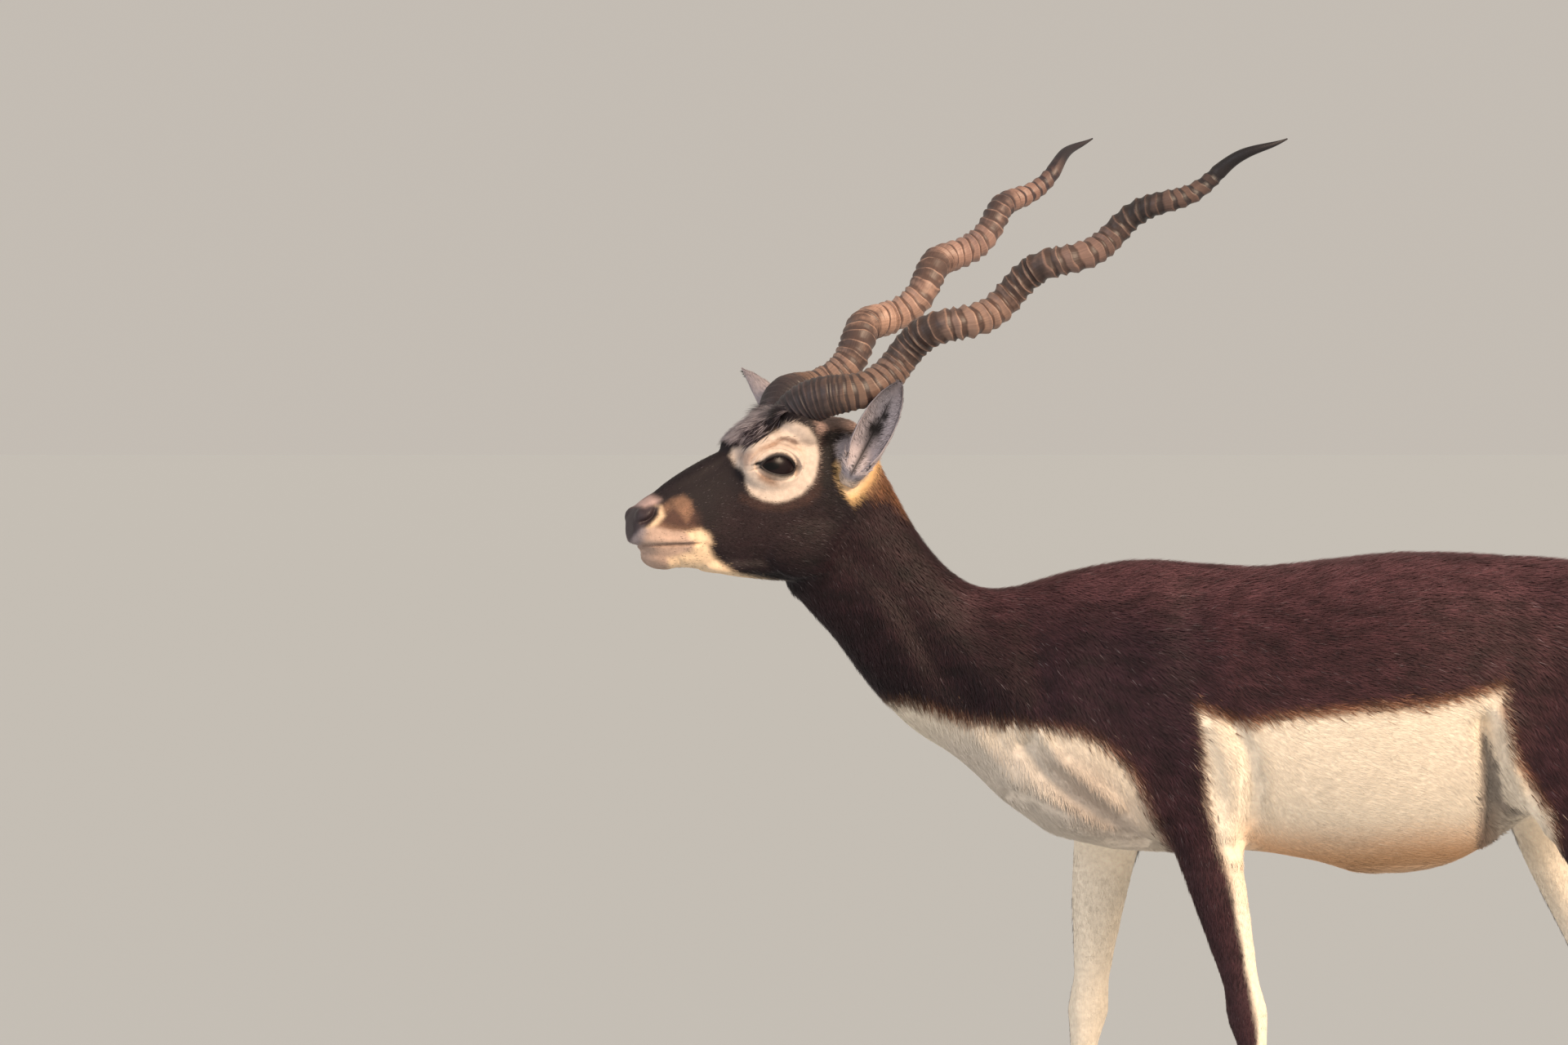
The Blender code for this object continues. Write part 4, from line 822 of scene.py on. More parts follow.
# %% A helper for nodes, and the hide under the hair
def add(tree, kind, inputs=None, **settings):
    """Adds a node: its own options by name, its sockets as a number or as another node's output."""
    node = tree.nodes.new(kind)
    for name, value in settings.items():
        setattr(node, name, value)
    for socket, value in (inputs or {}).items():
        if isinstance(value, bpy.types.NodeSocket):
            tree.links.new(value, node.inputs[socket])
        else:
            node.inputs[socket].default_value = value
    return node


def new_material(name):
    made = bpy.data.materials.new(name)
    made.use_nodes = True
    tree = made.node_tree
    shader = tree.nodes["Principled BSDF"]
    return made, tree, shader


def mm(size):
    """Noise scale for a pattern whose features are this many millimetres across."""
    return 1000 / size


# Hide with its shortest hairs: soft and dull, hairs 0.6 mm apart drawn as fine streaks and bumps.
hide, tree, shader = new_material("hide_with_short_hair")
colour = add(tree, "ShaderNodeAttribute", attribute_name="coat").outputs["Color"]
bare_mask = add(tree, "ShaderNodeAttribute", attribute_name="bare").outputs["Fac"]
place = add(tree, "ShaderNodeTexCoord").outputs["Object"]
clumps = add(tree, "ShaderNodeTexNoise", {"Vector": place, "Scale": mm(5), "Detail": 4.0}).outputs["Fac"]
hairs = add(tree, "ShaderNodeTexNoise", {"Vector": place, "Scale": mm(1.2), "Detail": 3.0}).outputs["Fac"]
pebbles = add(tree, "ShaderNodeTexVoronoi", {"Vector": place, "Scale": mm(1.1)}).outputs["Distance"]
tone = add(tree, "ShaderNodeMapRange", {"Value": clumps, "From Min": 0.3, "From Max": 0.7, "To Min": 0.86,
                                        "To Max": 1.10}).outputs[0]
shaded = add(tree, "ShaderNodeMix", {"Factor": 1.0, 6: colour, 7: tone}, data_type="RGBA", blend_type="MULTIPLY")
tree.links.new(shaded.outputs[2], shader.inputs["Base Color"])
height = add(tree, "ShaderNodeMix", {"Factor": bare_mask, 2: hairs, 3: pebbles}).outputs[0]
bump = add(tree, "ShaderNodeBump", {"Height": height, "Strength": 0.45, "Distance": 0.0006})
tree.links.new(bump.outputs[0], shader.inputs["Normal"])
gloss = add(tree, "ShaderNodeMapRange", {"Value": bare_mask, "To Min": 0.78, "To Max": 0.46}).outputs[0]
tree.links.new(gloss, shader.inputs["Roughness"])
shader.inputs["IOR"].default_value = 1.45
skin.data.materials.append(hide)

# Hair: keratin fibres, each tuft a shade lighter or darker than the next, paler to its tip.
hair, tree, shader = new_material("guard_hair")
colour = add(tree, "ShaderNodeAttribute", attribute_name="coat").outputs["Color"]
strand = add(tree, "ShaderNodeSeparateColor",
             {"Color": add(tree, "ShaderNodeAttribute", attribute_name="strand").outputs["Color"]})
tone = add(tree, "ShaderNodeMapRange", {"Value": strand.outputs["Green"], "To Min": 0.62, "To Max": 1.38}).outputs[0]
tip = add(tree, "ShaderNodeMapRange", {"Value": strand.outputs["Red"], "To Min": 0.80, "To Max": 1.13}).outputs[0]
both = add(tree, "ShaderNodeMath", {0: tone, 1: tip}, operation="MULTIPLY").outputs[0]
shaded = add(tree, "ShaderNodeMix", {"Factor": 1.0, 6: colour, 7: both}, data_type="RGBA", blend_type="MULTIPLY")
tree.links.new(shaded.outputs[2], shader.inputs["Base Color"])
shader.inputs["Roughness"].default_value = 0.58
shader.inputs["IOR"].default_value = 1.45
shader.inputs["Specular IOR Level"].default_value = 0.35
shader.inputs["Sheen Weight"].default_value = 0.08
shader.inputs["Sheen Roughness"].default_value = 0.4
print("materials of hide and hair")

# %% [markdown]
# ## Eyes
#
# The eye is a dark wet ball with a pupil that lies level. A thin black rim of bare lid follows the almond.

# %% Eyeballs and lid rims
wet_eye, tree, shader = new_material("wet_eye")
place = add(tree, "ShaderNodeTexCoord").outputs["Generated"]
centred = add(tree, "ShaderNodeVectorMath", {0: place, 1: (0.5, 0.5, 0.5)}, operation="SUBTRACT").outputs[0]
flat = add(tree, "ShaderNodeVectorMath", {0: centred, 1: (3.0, 0.0, 5.4)}, operation="MULTIPLY").outputs[0]
spread = add(tree, "ShaderNodeVectorMath", {0: flat}, operation="LENGTH").outputs["Value"]
iris = add(tree, "ShaderNodeValToRGB", {"Fac": spread})
PUPIL, IRIS = linear("#050508"), linear("#1a0f12")
iris.color_ramp.elements[0].position = 0.42
iris.color_ramp.elements[0].color = (*PUPIL, 1)
iris.color_ramp.elements[1].position = 0.60
iris.color_ramp.elements[1].color = (*IRIS, 1)
tree.links.new(iris.outputs[0], shader.inputs["Base Color"])
shader.inputs["Roughness"].default_value = 0.30
shader.inputs["IOR"].default_value = 1.376
shader.inputs["Specular IOR Level"].default_value = 0.35

lid_skin, tree, shader = new_material("bare_lid_skin")
grain = add(tree, "ShaderNodeTexNoise", {"Scale": mm(1.5), "Detail": 3.0}).outputs["Fac"]
tint = add(tree, "ShaderNodeMix", {"Factor": grain, 6: (*linear("#120c0d"), 1), 7: (*linear("#2b2021"), 1)},
           data_type="RGBA")
tree.links.new(tint.outputs[2], shader.inputs["Base Color"])
shader.inputs["Roughness"].default_value = 0.55


def tube(path, radii, count=10, closed_path=False):
    """A tube along a path, with a radius for each of its points; its ends are capped or joined."""
    path = np.asarray(path, float)
    if closed_path:
        path, radii = np.vstack([path, path[:1]]), np.append(radii, radii[0])
    runs = np.gradient(path, axis=0)
    if closed_path:
        runs[0] = runs[-1] = path[1] - path[-2]
    rings = []
    for p, run, r in zip(path, runs, radii):
        run = run / np.linalg.norm(run)
        side = np.cross(run, (0.0, 1.0, 0.0))
        side /= np.linalg.norm(side)
        rings.append(oval_ring(p, np.cross(side, run), side, r, r, count))
    return loft_parts(rings, closed_ends=not closed_path)


for name, sign in (("left", -1), ("right", 1)):
    ball_points, ball_faces = ball_parts((EYE[0], sign * EYE[1], EYE[2]), EYEBALL, rows=40, count=64)
    ball = mesh_object(f"eyeball_{name}", moved(ball_points, HEAD), ball_faces)
    ball.data.materials.append(wet_eye)
    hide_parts(f"eye_{name}")
    along, up, angles = (row[:-1] for row in almond_outline(120))
    out = eyeball_height(along, up) + 0.0005
    rim = np.stack([EYE[0] + along, sign * (EYE[1] + out), EYE[2] + up], 1)
    thick = 0.0013 + 0.0003 * np.maximum(np.sin(angles), 0) + 0.0002 * bell(np.cos(angles) + 1, 0.15)
    rim_points, rim_faces = tube(rim, thick, 10, closed_path=True)
    lid = mesh_object(f"lid_rim_{name}", moved(rim_points, HEAD), rim_faces)
    lid.data.materials.append(lid_skin)
    for piece in (ball, lid):
        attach(piece, "root")
print("eyes and lids")

# %% [markdown]
# ## Horns
#
# Each horn is an open corkscrew. Growth rings stand like stacked cups: fine and crowded at the base, bold and far
# apart higher up, gone at the smooth tip. The sheath is keratin, tan where it is worn and dark in the grooves.
# Where the coil turns to face the light, its bands are painted paler: painted light.

# %% Horns
HORN_ROOT, HORN_RUN = np.array((-0.062, 0.029, 0.907)), np.array((0.422, 0.189, 0.290))
HORN_BOW = np.array((0.015, 0.009, -0.0085))
HORN_COIL = (0.0103, 0.0037)
HORN_TURNS = (3.79, 0.74)
HORN_PHASE = 0.44
HORN_LENGTH = 0.59
HORN_RADII = [(-0.04, 0.0225), (0.00, 0.0225), (0.05, 0.0210), (0.10, 0.0185), (0.20, 0.0168), (0.30, 0.0165),
              (0.40, 0.0155), (0.50, 0.0148), (0.60, 0.0140), (0.70, 0.0122), (0.78, 0.0104), (0.85, 0.0080),
              (0.92, 0.0056), (0.97, 0.0030), (1.00, 0.0007)]
RINGS_END = 0.855
# How much paler each horn is made along its length, and how much darker towards its tip: the far one is paler.
HORN_TONE = {"ringed_horn_left": (0.0, 0.36), "ringed_horn_right": (0.52, 0.0)}


def horn_axis(t, sign):
    """Points of the coiled axis, in the head's frame, for an array of shares of the length."""
    t = np.asarray(t, float)[:, None]
    straight = HORN_ROOT + HORN_RUN * t + HORN_BOW * t * t
    along = HORN_RUN + HORN_BOW * 2 * t
    along /= np.linalg.norm(along, axis=1)[:, None]
    up = np.array((0.0, 0.0, 1.0))
    first = up - along * (along @ up)[:, None]
    first /= np.linalg.norm(first, axis=1)[:, None]
    second = np.cross(first, along)
    coil = HORN_COIL[0] + (HORN_COIL[1] - HORN_COIL[0]) * t
    phase = HORN_PHASE - 2 * np.pi * (HORN_TURNS[0] * t + HORN_TURNS[1] * t * t)
    axis = straight + first * coil * np.cos(phase) - second * coil * np.sin(phase)
    return axis * np.array((1, sign, 1))


def ring_starts():
    """Shares of the length at which the growth rings start."""
    starts, t = [], -0.030
    while t < RINGS_END:
        starts.append(t)
        spacing = 0.0052 + 0.0044 * smoothstep(t, 0.065, 0.115) + 0.0022 * smoothstep(t, 0.24, 0.36)
        t += float(spacing) / HORN_LENGTH
    return np.array(starts + [t])


def horn_piece(name, sign, seed):
    rng = np.random.default_rng(seed)
    starts = ring_starts()
    starts[1:-1] += rng.normal(0, 0.15, len(starts) - 2) * np.diff(starts)[1:]
    t = [starts[0]]
    for a, b in zip(starts, starts[1:]):
        steps = 9 if b - a < 0.014 else 15
        t += list(a + (b - a) * (np.arange(steps) + 1) / steps)
    t = np.array(t + list(np.linspace(t[-1], 1.0, 30)[1:]))
    count = 44
    angle = 2 * np.pi * np.arange(count) / count
    number = np.interp(t, starts, np.arange(len(starts)))[:, None]
    wander = 0.22 * np.sin(angle + 0.50 * number + sign) + 0.07 * np.sin(2 * angle - 0.9 * number)
    wander = wander + 0.035 * np.sin(5 * angle + 2.3 * number)
    number = np.clip(number + wander, 0, len(starts) - 1.001)
    share = number % 1
    # A cup is hollow in its middle and meets the next in a sharp lip.
    ridge = np.abs(2 * share ** 0.75 - 1) ** 1.4
    sizes = rng.uniform(0.55, 1.25, len(starts) + 1)
    size = np.interp(number, np.arange(len(sizes)), sizes)
    bold = 0.065 + 0.135 * smoothstep(t, 0.06, 0.40)[:, None]
    bold = bold * smoothstep(t, 0.90, 0.84)[:, None] * size
    radius = np.interp(t, *np.array(HORN_RADII).T)[:, None]
    wrinkle = 0.010 * np.sin(7 * angle + 31 * t[:, None]) * np.sin(3 * angle - 57 * t[:, None])
    radius = radius * (1 + bold * (ridge - 0.42) + wrinkle * smoothstep(t, 0.95, 0.80)[:, None])
    axis = horn_axis(t, sign)
    runs = np.gradient(axis, axis=0)
    runs /= np.linalg.norm(runs, axis=1)[:, None]
    rings = []
    for i in range(len(t)):
        side = np.array((0.0, 1.0, 0.0)) - runs[i] * runs[i][1]
        side /= np.linalg.norm(side)
        up = np.cross(runs[i], side)
        flatten = (1 + 0.14 * max(0.0, 1 - t[i] / 0.12)) ** -0.5
        rings.append(axis[i] + np.outer(np.sin(angle) * radius[i], up)
                     + np.outer(np.cos(angle) * radius[i] * flatten, side))
    local_points, faces = loft_parts(rings)
    local_points[:, 1] = sign * np.maximum(sign * local_points[:, 1], 0.0002)
    made = mesh_object(name, moved(local_points, HEAD), faces)
    round_it = np.broadcast_to(angle / (2 * np.pi), ridge.shape)
    # Lips are worn pale everywhere, and the band between two grooves a little. Where the coil turns to face the light,
    # that band is painted pale as well: painted light.
    coil_facing_light = 0.5 + 0.5 * np.cos(2 * np.pi * (HORN_TURNS[0] * t + HORN_TURNS[1] * t * t - 1.50))[:, None]
    lips = np.maximum(smoothstep(share, 0.10, 0.02), smoothstep(share, 0.90, 0.98))
    worn_and_lit_band = (0.10 + 0.90 * coil_facing_light) * smoothstep(share, 0.32, 0.60) * smoothstep(share, 1.0, 0.92)
    bare = np.maximum(0.70 * lips, worn_and_lit_band)
    growth = np.stack([bare, np.broadcast_to(t[:, None], ridge.shape), round_it], 2).reshape(-1, 3)
    colour_attribute(made.data, "growth", growth)
    # Painted light: the sheath is made brighter where the coil turns to face the light.
    shine = 0.84 + 0.34 * coil_facing_light * smoothstep(t, 0.08, 0.30)[:, None]
    paler, darker = HORN_TONE[name]
    shine = shine + paler * (smoothstep(t, 0.06, 0.20) * smoothstep(t, 0.93, 0.86))[:, None]
    shine = shine - darker * smoothstep(t, 0.48, 0.78)[:, None]
    colour_attribute(made.data, "light_and_tone", np.repeat(np.broadcast_to(shine, ridge.shape).reshape(-1, 1), 3, 1))
    return made


horn_sheath, tree, shader = new_material("keratin_horn_sheath")
growth = add(tree, "ShaderNodeSeparateColor",
             {"Color": add(tree, "ShaderNodeAttribute", attribute_name="growth").outputs["Color"]})
ridge, share, round_it = growth.outputs["Red"], growth.outputs["Green"], growth.outputs["Blue"]
place = add(tree, "ShaderNodeTexCoord").outputs["Object"]
blotches = add(tree, "ShaderNodeTexNoise", {"Vector": place, "Scale": mm(16), "Detail": 5.0}).outputs["Fac"]
turned = add(tree, "ShaderNodeMath", {0: round_it, 1: 6.2832}, operation="MULTIPLY").outputs[0]
fibre_place = add(tree, "ShaderNodeCombineXYZ", {
    0: add(tree, "ShaderNodeMath", {0: turned}, operation="COSINE").outputs[0],
    1: add(tree, "ShaderNodeMath", {0: turned}, operation="SINE").outputs[0],
    2: add(tree, "ShaderNodeMath", {0: share, 1: 2.2}, operation="MULTIPLY").outputs[0]}).outputs[0]
fibres = add(tree, "ShaderNodeTexNoise", {"Vector": fibre_place, "Scale": 13.0, "Detail": 4.0}).outputs["Fac"]
# Worn ridges, and the bands painted pale where the coil faces the light (painted light): dark grey at the base, tan
# to two thirds, dark again at the tip. Grooves keep a near black skin, and so do the bands turned from the light.
worn_and_lit_ramp = add(tree, "ShaderNodeValToRGB", {"Fac": share})
worn_and_lit_ramp.color_ramp.elements[0].position = 0.0
worn_and_lit_ramp.color_ramp.elements[0].color = (*linear("#4d4043"), 1)
worn_and_lit_ramp.color_ramp.elements[1].position = 0.90
worn_and_lit_ramp.color_ramp.elements[1].color = (*linear("#231b21"), 1)
WORN_AND_LIT = ((0.045, "#5a4846"), (0.085, "#7d6253"), (0.14, "#8c7062"), (0.35, "#967869"), (0.60, "#84695f"),
        (0.80, "#775d53"))
for position, code in WORN_AND_LIT:
    worn_and_lit_ramp.color_ramp.elements.new(position).color = (*linear(code), 1)
raw = add(tree, "ShaderNodeValToRGB", {"Fac": share})
raw.color_ramp.elements[0].position = 0.0
raw.color_ramp.elements[0].color = (*linear("#33292d"), 1)
raw.color_ramp.elements[1].position = 0.87
raw.color_ramp.elements[1].color = (*linear("#231b21"), 1)
RAW = ((0.10, "#3f302d"), (0.40, "#4c3932"), (0.65, "#443430"))
for position, code in RAW:
    raw.color_ramp.elements.new(position).color = (*linear(code), 1)
centred = add(tree, "ShaderNodeMath", {0: blotches, 1: -0.5}, operation="ADD").outputs[0]
uneven = add(tree, "ShaderNodeMath", {0: centred, 1: 1.6}, operation="MULTIPLY").outputs[0]
worn_and_lit = add(tree, "ShaderNodeMath", {0: ridge, 1: uneven}, operation="ADD").outputs[0]
worn_and_lit = add(tree, "ShaderNodeMapRange", {"Value": worn_and_lit, "From Min": 0.08, "From Max": 0.80},
            interpolation_type="SMOOTHSTEP").outputs[0]
sheath = add(tree, "ShaderNodeMix", {"Factor": worn_and_lit, 6: raw.outputs[0], 7: worn_and_lit_ramp.outputs[0]}, data_type="RGBA")
# The far horn is made paler than the near one, and the near one darker towards its tip. Both are made brighter
# where the coil faces the light: painted light.
light_and_tone = add(tree, "ShaderNodeAttribute", attribute_name="light_and_tone").outputs["Fac"]
sheath = add(tree, "ShaderNodeMix", {"Factor": 1.0, 6: sheath.outputs[2], 7: light_and_tone}, data_type="RGBA",
             blend_type="MULTIPLY")
streaked = add(tree, "ShaderNodeMapRange", {"Value": fibres, "From Min": 0.3, "From Max": 0.7, "To Min": 0.80,
                                            "To Max": 1.14}).outputs[0]
shaded = add(tree, "ShaderNodeMix", {"Factor": 1.0, 6: sheath.outputs[2], 7: streaked}, data_type="RGBA",
             blend_type="MULTIPLY")
tree.links.new(shaded.outputs[2], shader.inputs["Base Color"])
bump = add(tree, "ShaderNodeBump", {"Height": fibres, "Strength": 0.35, "Distance": 0.0008})
tree.links.new(bump.outputs[0], shader.inputs["Normal"])
shader.inputs["Roughness"].default_value = 0.46
shader.inputs["IOR"].default_value = 1.54

for name, sign, seed in (("left", -1, 3), ("right", 1, 4)):
    horn = horn_piece(f"ringed_horn_{name}", sign, seed)
    horn.data.materials.append(horn_sheath)
    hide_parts(f"horn_{name}")
    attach(horn, "root")
    print(horn.name, len(horn.data.polygons), "faces")

# %% [markdown]
# ## Ears
#
# An ear is a leaf rolled into a cup round its root. Its back is clad in short hair and its inside in long pale
# hairs that fan out from a dark slit.

# %% Ear cups
EARS = {
    "left": (-1, (-0.014, 0.037, 0.851), (0.006, 0.108, 0.943), (-0.50, 0.80, -0.20)),
    "right": (1, (-0.020, 0.038, 0.856), (-0.074, 0.095, 0.952), (-0.45, 0.88, -0.10)),
}
EAR_HALF_WIDTHS = [(0.0, 0.0110), (0.12, 0.0155), (0.30, 0.0178), (0.48, 0.0183), (0.66, 0.0171), (0.82, 0.0126),
                   (0.93, 0.0070), (1.0, 0.0012)]
EAR_WRAP = [(0.0, 168.0), (0.15, 150.0), (0.35, 112.0), (0.6, 88.0), (0.85, 72.0), (1.0, 60.0)]
EAR_THICKNESS = 0.0026
EAR_ROWS, EAR_ARC = 44, 25


def ear_axes(side):
    sign, root, tip, opening = EARS[side]
    mirror = np.array((1, sign, 1))
    root, tip, opening = (np.array(v) * mirror for v in (root, tip, opening))
    along = (tip - root) / np.linalg.norm(tip - root)
    opens = opening - along * (opening @ along)
    opens /= np.linalg.norm(opens)
    return root, tip, along, opens, np.cross(along, opens)


def ear_layer(side, inner):
    """A grid of points on one face of the cup: rows towards the tip, columns round it."""
    root, tip, along, opens, across = ear_axes(side)
    length = np.linalg.norm(tip - root)
    rows = []
    for t in np.linspace(-0.06, 1.0, EAR_ROWS):
        half = np.interp(max(t, 0), *np.array(EAR_HALF_WIDTHS).T)
        wrap = math.radians(np.interp(max(t, 0), *np.array(EAR_WRAP).T))
        radius = half / math.sin(min(wrap, math.pi / 2))
        wall = min(EAR_THICKNESS, half * 0.45) * inner * (1 - 0.75 * np.abs(np.linspace(-1, 1, EAR_ARC)) ** 4)
        lean = -0.006 * math.sin(math.pi * max(t, 0.0))
        centre = root + along * (length * t) + opens * (radius * 0.35 + lean)
        span = np.linspace(-1, 1, EAR_ARC)
        angle = wrap * span
        row = (centre + np.outer((radius - wall) * np.sin(angle), across)
               - np.outer((radius - wall) * np.cos(angle), opens))
        if inner:
            # The root of the cup is filled with flesh and wool: its floor rises to a swelling that closes it.
            inside = radius - min(EAR_THICKNESS, half * 0.45)
            edge = centre - opens * (inside * math.cos(wrap))
            reach = inside * math.sin(min(wrap, math.pi / 2)) * 0.96
            swelling = (edge + np.outer(reach * np.sin(span * math.pi / 2), across)
                        + np.outer(0.55 * reach * np.cos(span * math.pi / 2) ** 0.8, opens))
            fill = float(smoothstep(t, 0.34, 0.06))
            shallow = 0.25 * float(smoothstep(t, 0.80, 0.30))
            row += max(fill, shallow) * (swelling - row)
        rows.append(row)
    return np.array(rows)


def ear_colours(inner, share_up, share_across):
    """Pale grey within, with a dark slit and a thin dark rim; grey brown behind."""
    up, across = share_up[:, None], np.abs(share_across)[:, None]
    if not inner:
        back = COAT["pale grey"] + smoothstep(up, 0.60, 1.0) * 0.35 * (COAT["slate"] - COAT["pale grey"])
        return back + smoothstep(up, 0.20, 0.05) * 0.6 * (COAT["gold"] - back)
    colours = COAT["pale grey"] + 0.45 * smoothstep(up, 0.72, 1.0) * (COAT["brown"] - COAT["pale grey"])
    colours = colours + smoothstep(up, 0.10, 0.02) * 0.5 * (COAT["cream"] - colours)
    slit = smoothstep(across, 0.17 - 0.10 * up, 0.02) * smoothstep(up, 0.90, 0.66) * smoothstep(up, 0.06, 0.16)
    colours = colours + 0.95 * slit * (COAT["black"] - colours)
    pool = bell(up - 0.47, 0.090) * smoothstep(across, 0.38, 0.14)
    pool = np.maximum(pool, bell(up - 0.60, 0.05) * smoothstep(np.abs(share_across[:, None] - 0.13), 0.16, 0.04))
    colours = colours + pool * (COAT["black"] - colours)
    rim = smoothstep(across, 0.955, 1.0) * smoothstep(up, 0.15, 0.4)
    return colours + 0.30 * rim * (COAT["slate"] - colours)


ears = {}
for name in EARS:
    outer, inner = ear_layer(name, 0), ear_layer(name, 1)
    rings = [np.vstack([a, b[::-1]]) for a, b in zip(outer, inner)]
    local_points, faces = loft_parts(rings)
    ear = mesh_object(f"ear_cup_{name}", moved(local_points, HEAD), faces)
    share_up = np.repeat(np.linspace(0, 1, EAR_ROWS), 2 * EAR_ARC)
    span = np.linspace(-1, 1, EAR_ARC)
    share_across = np.tile(np.concatenate([span, span[::-1]]), EAR_ROWS)
    is_inner = np.tile(np.repeat([False, True], EAR_ARC), EAR_ROWS)
    tint = np.where(is_inner[:, None], ear_colours(True, share_up, share_across),
                    ear_colours(False, share_up, share_across))
    colour_attribute(ear.data, "coat", tint)
    colour_attribute(ear.data, "bare", np.zeros((len(tint), 3)))
    ear.data.materials.append(hide)
    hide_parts(f"ear_{name}")
    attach(ear, "root")
    ears[name] = (outer, inner)
print("ears", len(ears))

# %% [markdown]
# ## Hooves and tail
#
# Each foot stands on two pointed claws of black horn with a cleft between them. The tail is a short tapering rod.

# %% Hooves
hoof_horn, tree, shader = new_material("black_hoof_horn")
place = add(tree, "ShaderNodeTexCoord").outputs["Object"]
bands = add(tree, "ShaderNodeTexWave", {"Vector": place, "Scale": mm(9) / 6.3, "Distortion": 2.5, "Detail": 2.0},
            bands_direction="Z").outputs["Fac"]
tint = add(tree, "ShaderNodeMix", {"Factor": bands, 6: (*linear("#1f191a"), 1), 7: (*linear("#3a302d"), 1)},
           data_type="RGBA")
tree.links.new(tint.outputs[2], shader.inputs["Base Color"])
bump = add(tree, "ShaderNodeBump", {"Height": bands, "Strength": 0.3, "Distance": 0.0005})
tree.links.new(bump.outputs[0], shader.inputs["Normal"])
shader.inputs["Roughness"].default_value = 0.40
shader.inputs["IOR"].default_value = 1.54

HOOF_ROWS = [(1.0, 0.0, 0.0150, 0.0092, 0.0068), (0.85, -0.0012, 0.0166, 0.0099, 0.0075),
             (0.6, -0.0040, 0.0200, 0.0110, 0.0088), (0.3, -0.0076, 0.0232, 0.0112, 0.0097),
             (0.07, -0.0100, 0.0250, 0.0112, 0.0102), (0.0, -0.0100, 0.0244, 0.0106, 0.0102)]


def hoof_parts(centre):
    parts = []
    for outward in (-1, 1):
        rings = []
        for height, slide, half_long, half_wide, apart in smooth_rows(HOOF_ROWS, 3):
            angle = 2 * np.pi * np.arange(28) / 28
            back_share = 0.5 * (1 - np.cos(angle))
            wide = half_wide * np.sin(angle) * (1 - 0.45 * (1 - back_share) ** 2)
            rings.append(np.stack([centre[0] + slide - half_long * np.cos(angle), centre[1] + outward * apart + wide,
                                   np.full(28, max(centre[2] * height, 0.0))], 1))
        parts.append(loft_parts(rings[::-1]))
    heel = [oval_ring((centre[0] + slide, centre[1], centre[2] * height), (1, 0, 0), (0, 1, 0), long, wide, 28)
            for height, slide, long, wide in ((1.0, 0.001, 0.0150, 0.0155), (0.55, 0.002, 0.0150, 0.0150),
                                              (0.22, 0.004, 0.0110, 0.0110))]
    return parts + [loft_parts(heel[::-1])]


for end in ("front", "hind"):
    for side in ("left", "right"):
        low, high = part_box(f"hoof_{end}_{side}")
        centre = (low.x + 0.0352, (low.y + high.y) / 2, high.z + 0.0006)
        hoof = joined(f"claws_{end}_{side}", hoof_parts(centre))
        hoof.data.materials.append(hoof_horn)
        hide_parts(f"hoof_{end}_{side}")
        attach(hoof, "root")
FETLOCKS = {"front_left": (0.103, -0.052, 0.122), "front_right": (-0.107, 0.052, 0.122),
            "hind_left": (0.534, -0.056, 0.128), "hind_right": (0.415, 0.056, 0.128)}
skin_spots = in_body(coordinates(skin.data))
for leg_name, (x, y, z) in FETLOCKS.items():
    here = (np.abs(skin_spots[:, 2] - z + 0.014) < 0.006) & (np.abs(skin_spots[:, 1] - y) < 0.020)
    heel = skin_spots[here & (np.abs(skin_spots[:, 0] - x) < 0.035), 0].max()
    parts = [ball_parts((heel - 0.0038, y + outward, z - 0.014), (0.0052, 0.0042, 0.0085), -20)
             for outward in (-0.0065, 0.0065)]
    dewclaws = joined(f"dewclaws_{leg_name}", [(moved(spots, BODY), faces) for spots, faces in parts])
    dewclaws.data.materials.append(hoof_horn)
    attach(dewclaws, "root")
print("hooves and dew claws")

# %% Tail
TAIL = [(0.512, 0.715, 0.013, 0.014), (0.538, 0.702, 0.014, 0.016), (0.553, 0.680, 0.014, 0.017),
        (0.559, 0.652, 0.013, 0.017), (0.561, 0.620, 0.012, 0.016), (0.562, 0.590, 0.009, 0.012),
        (0.563, 0.566, 0.004, 0.006)]
tail_rows = smooth_rows(TAIL, 5)
tail_path = np.array([(x, 0.0, z) for x, z, _, _ in tail_rows])
tail_points, tail_faces = tube(tail_path, [w * 0.8 for *_, w in tail_rows], 20)
tail = mesh_object("tail_root", moved(tail_points, BODY), tail_faces)
tail.data.materials.append(hide)
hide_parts("tail")
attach(tail, "root")


def tail_colours(points):
    """Dark above and outside, white underneath."""
    body = in_body(points)
    under = smoothstep(body[:, 0] + 0.9 * np.maximum(body[:, 2] - 0.675, 0), 0.556, 0.546)[:, None]
    return COAT["flank"] + under * (COAT["white"] - COAT["flank"])


colour_attribute(tail.data, "coat", tail_colours(coordinates(tail.data)))
colour_attribute(tail.data, "bare", np.zeros((len(tail.data.vertices), 3)))
print("tail")

# %% [markdown]
# ## The coat
#
# Hair is drawn as tufts: slender closed spikes rooted on the skin and laid along it. How long they are, and which
# way they lie, is written at a few places of head and body and blended between them.

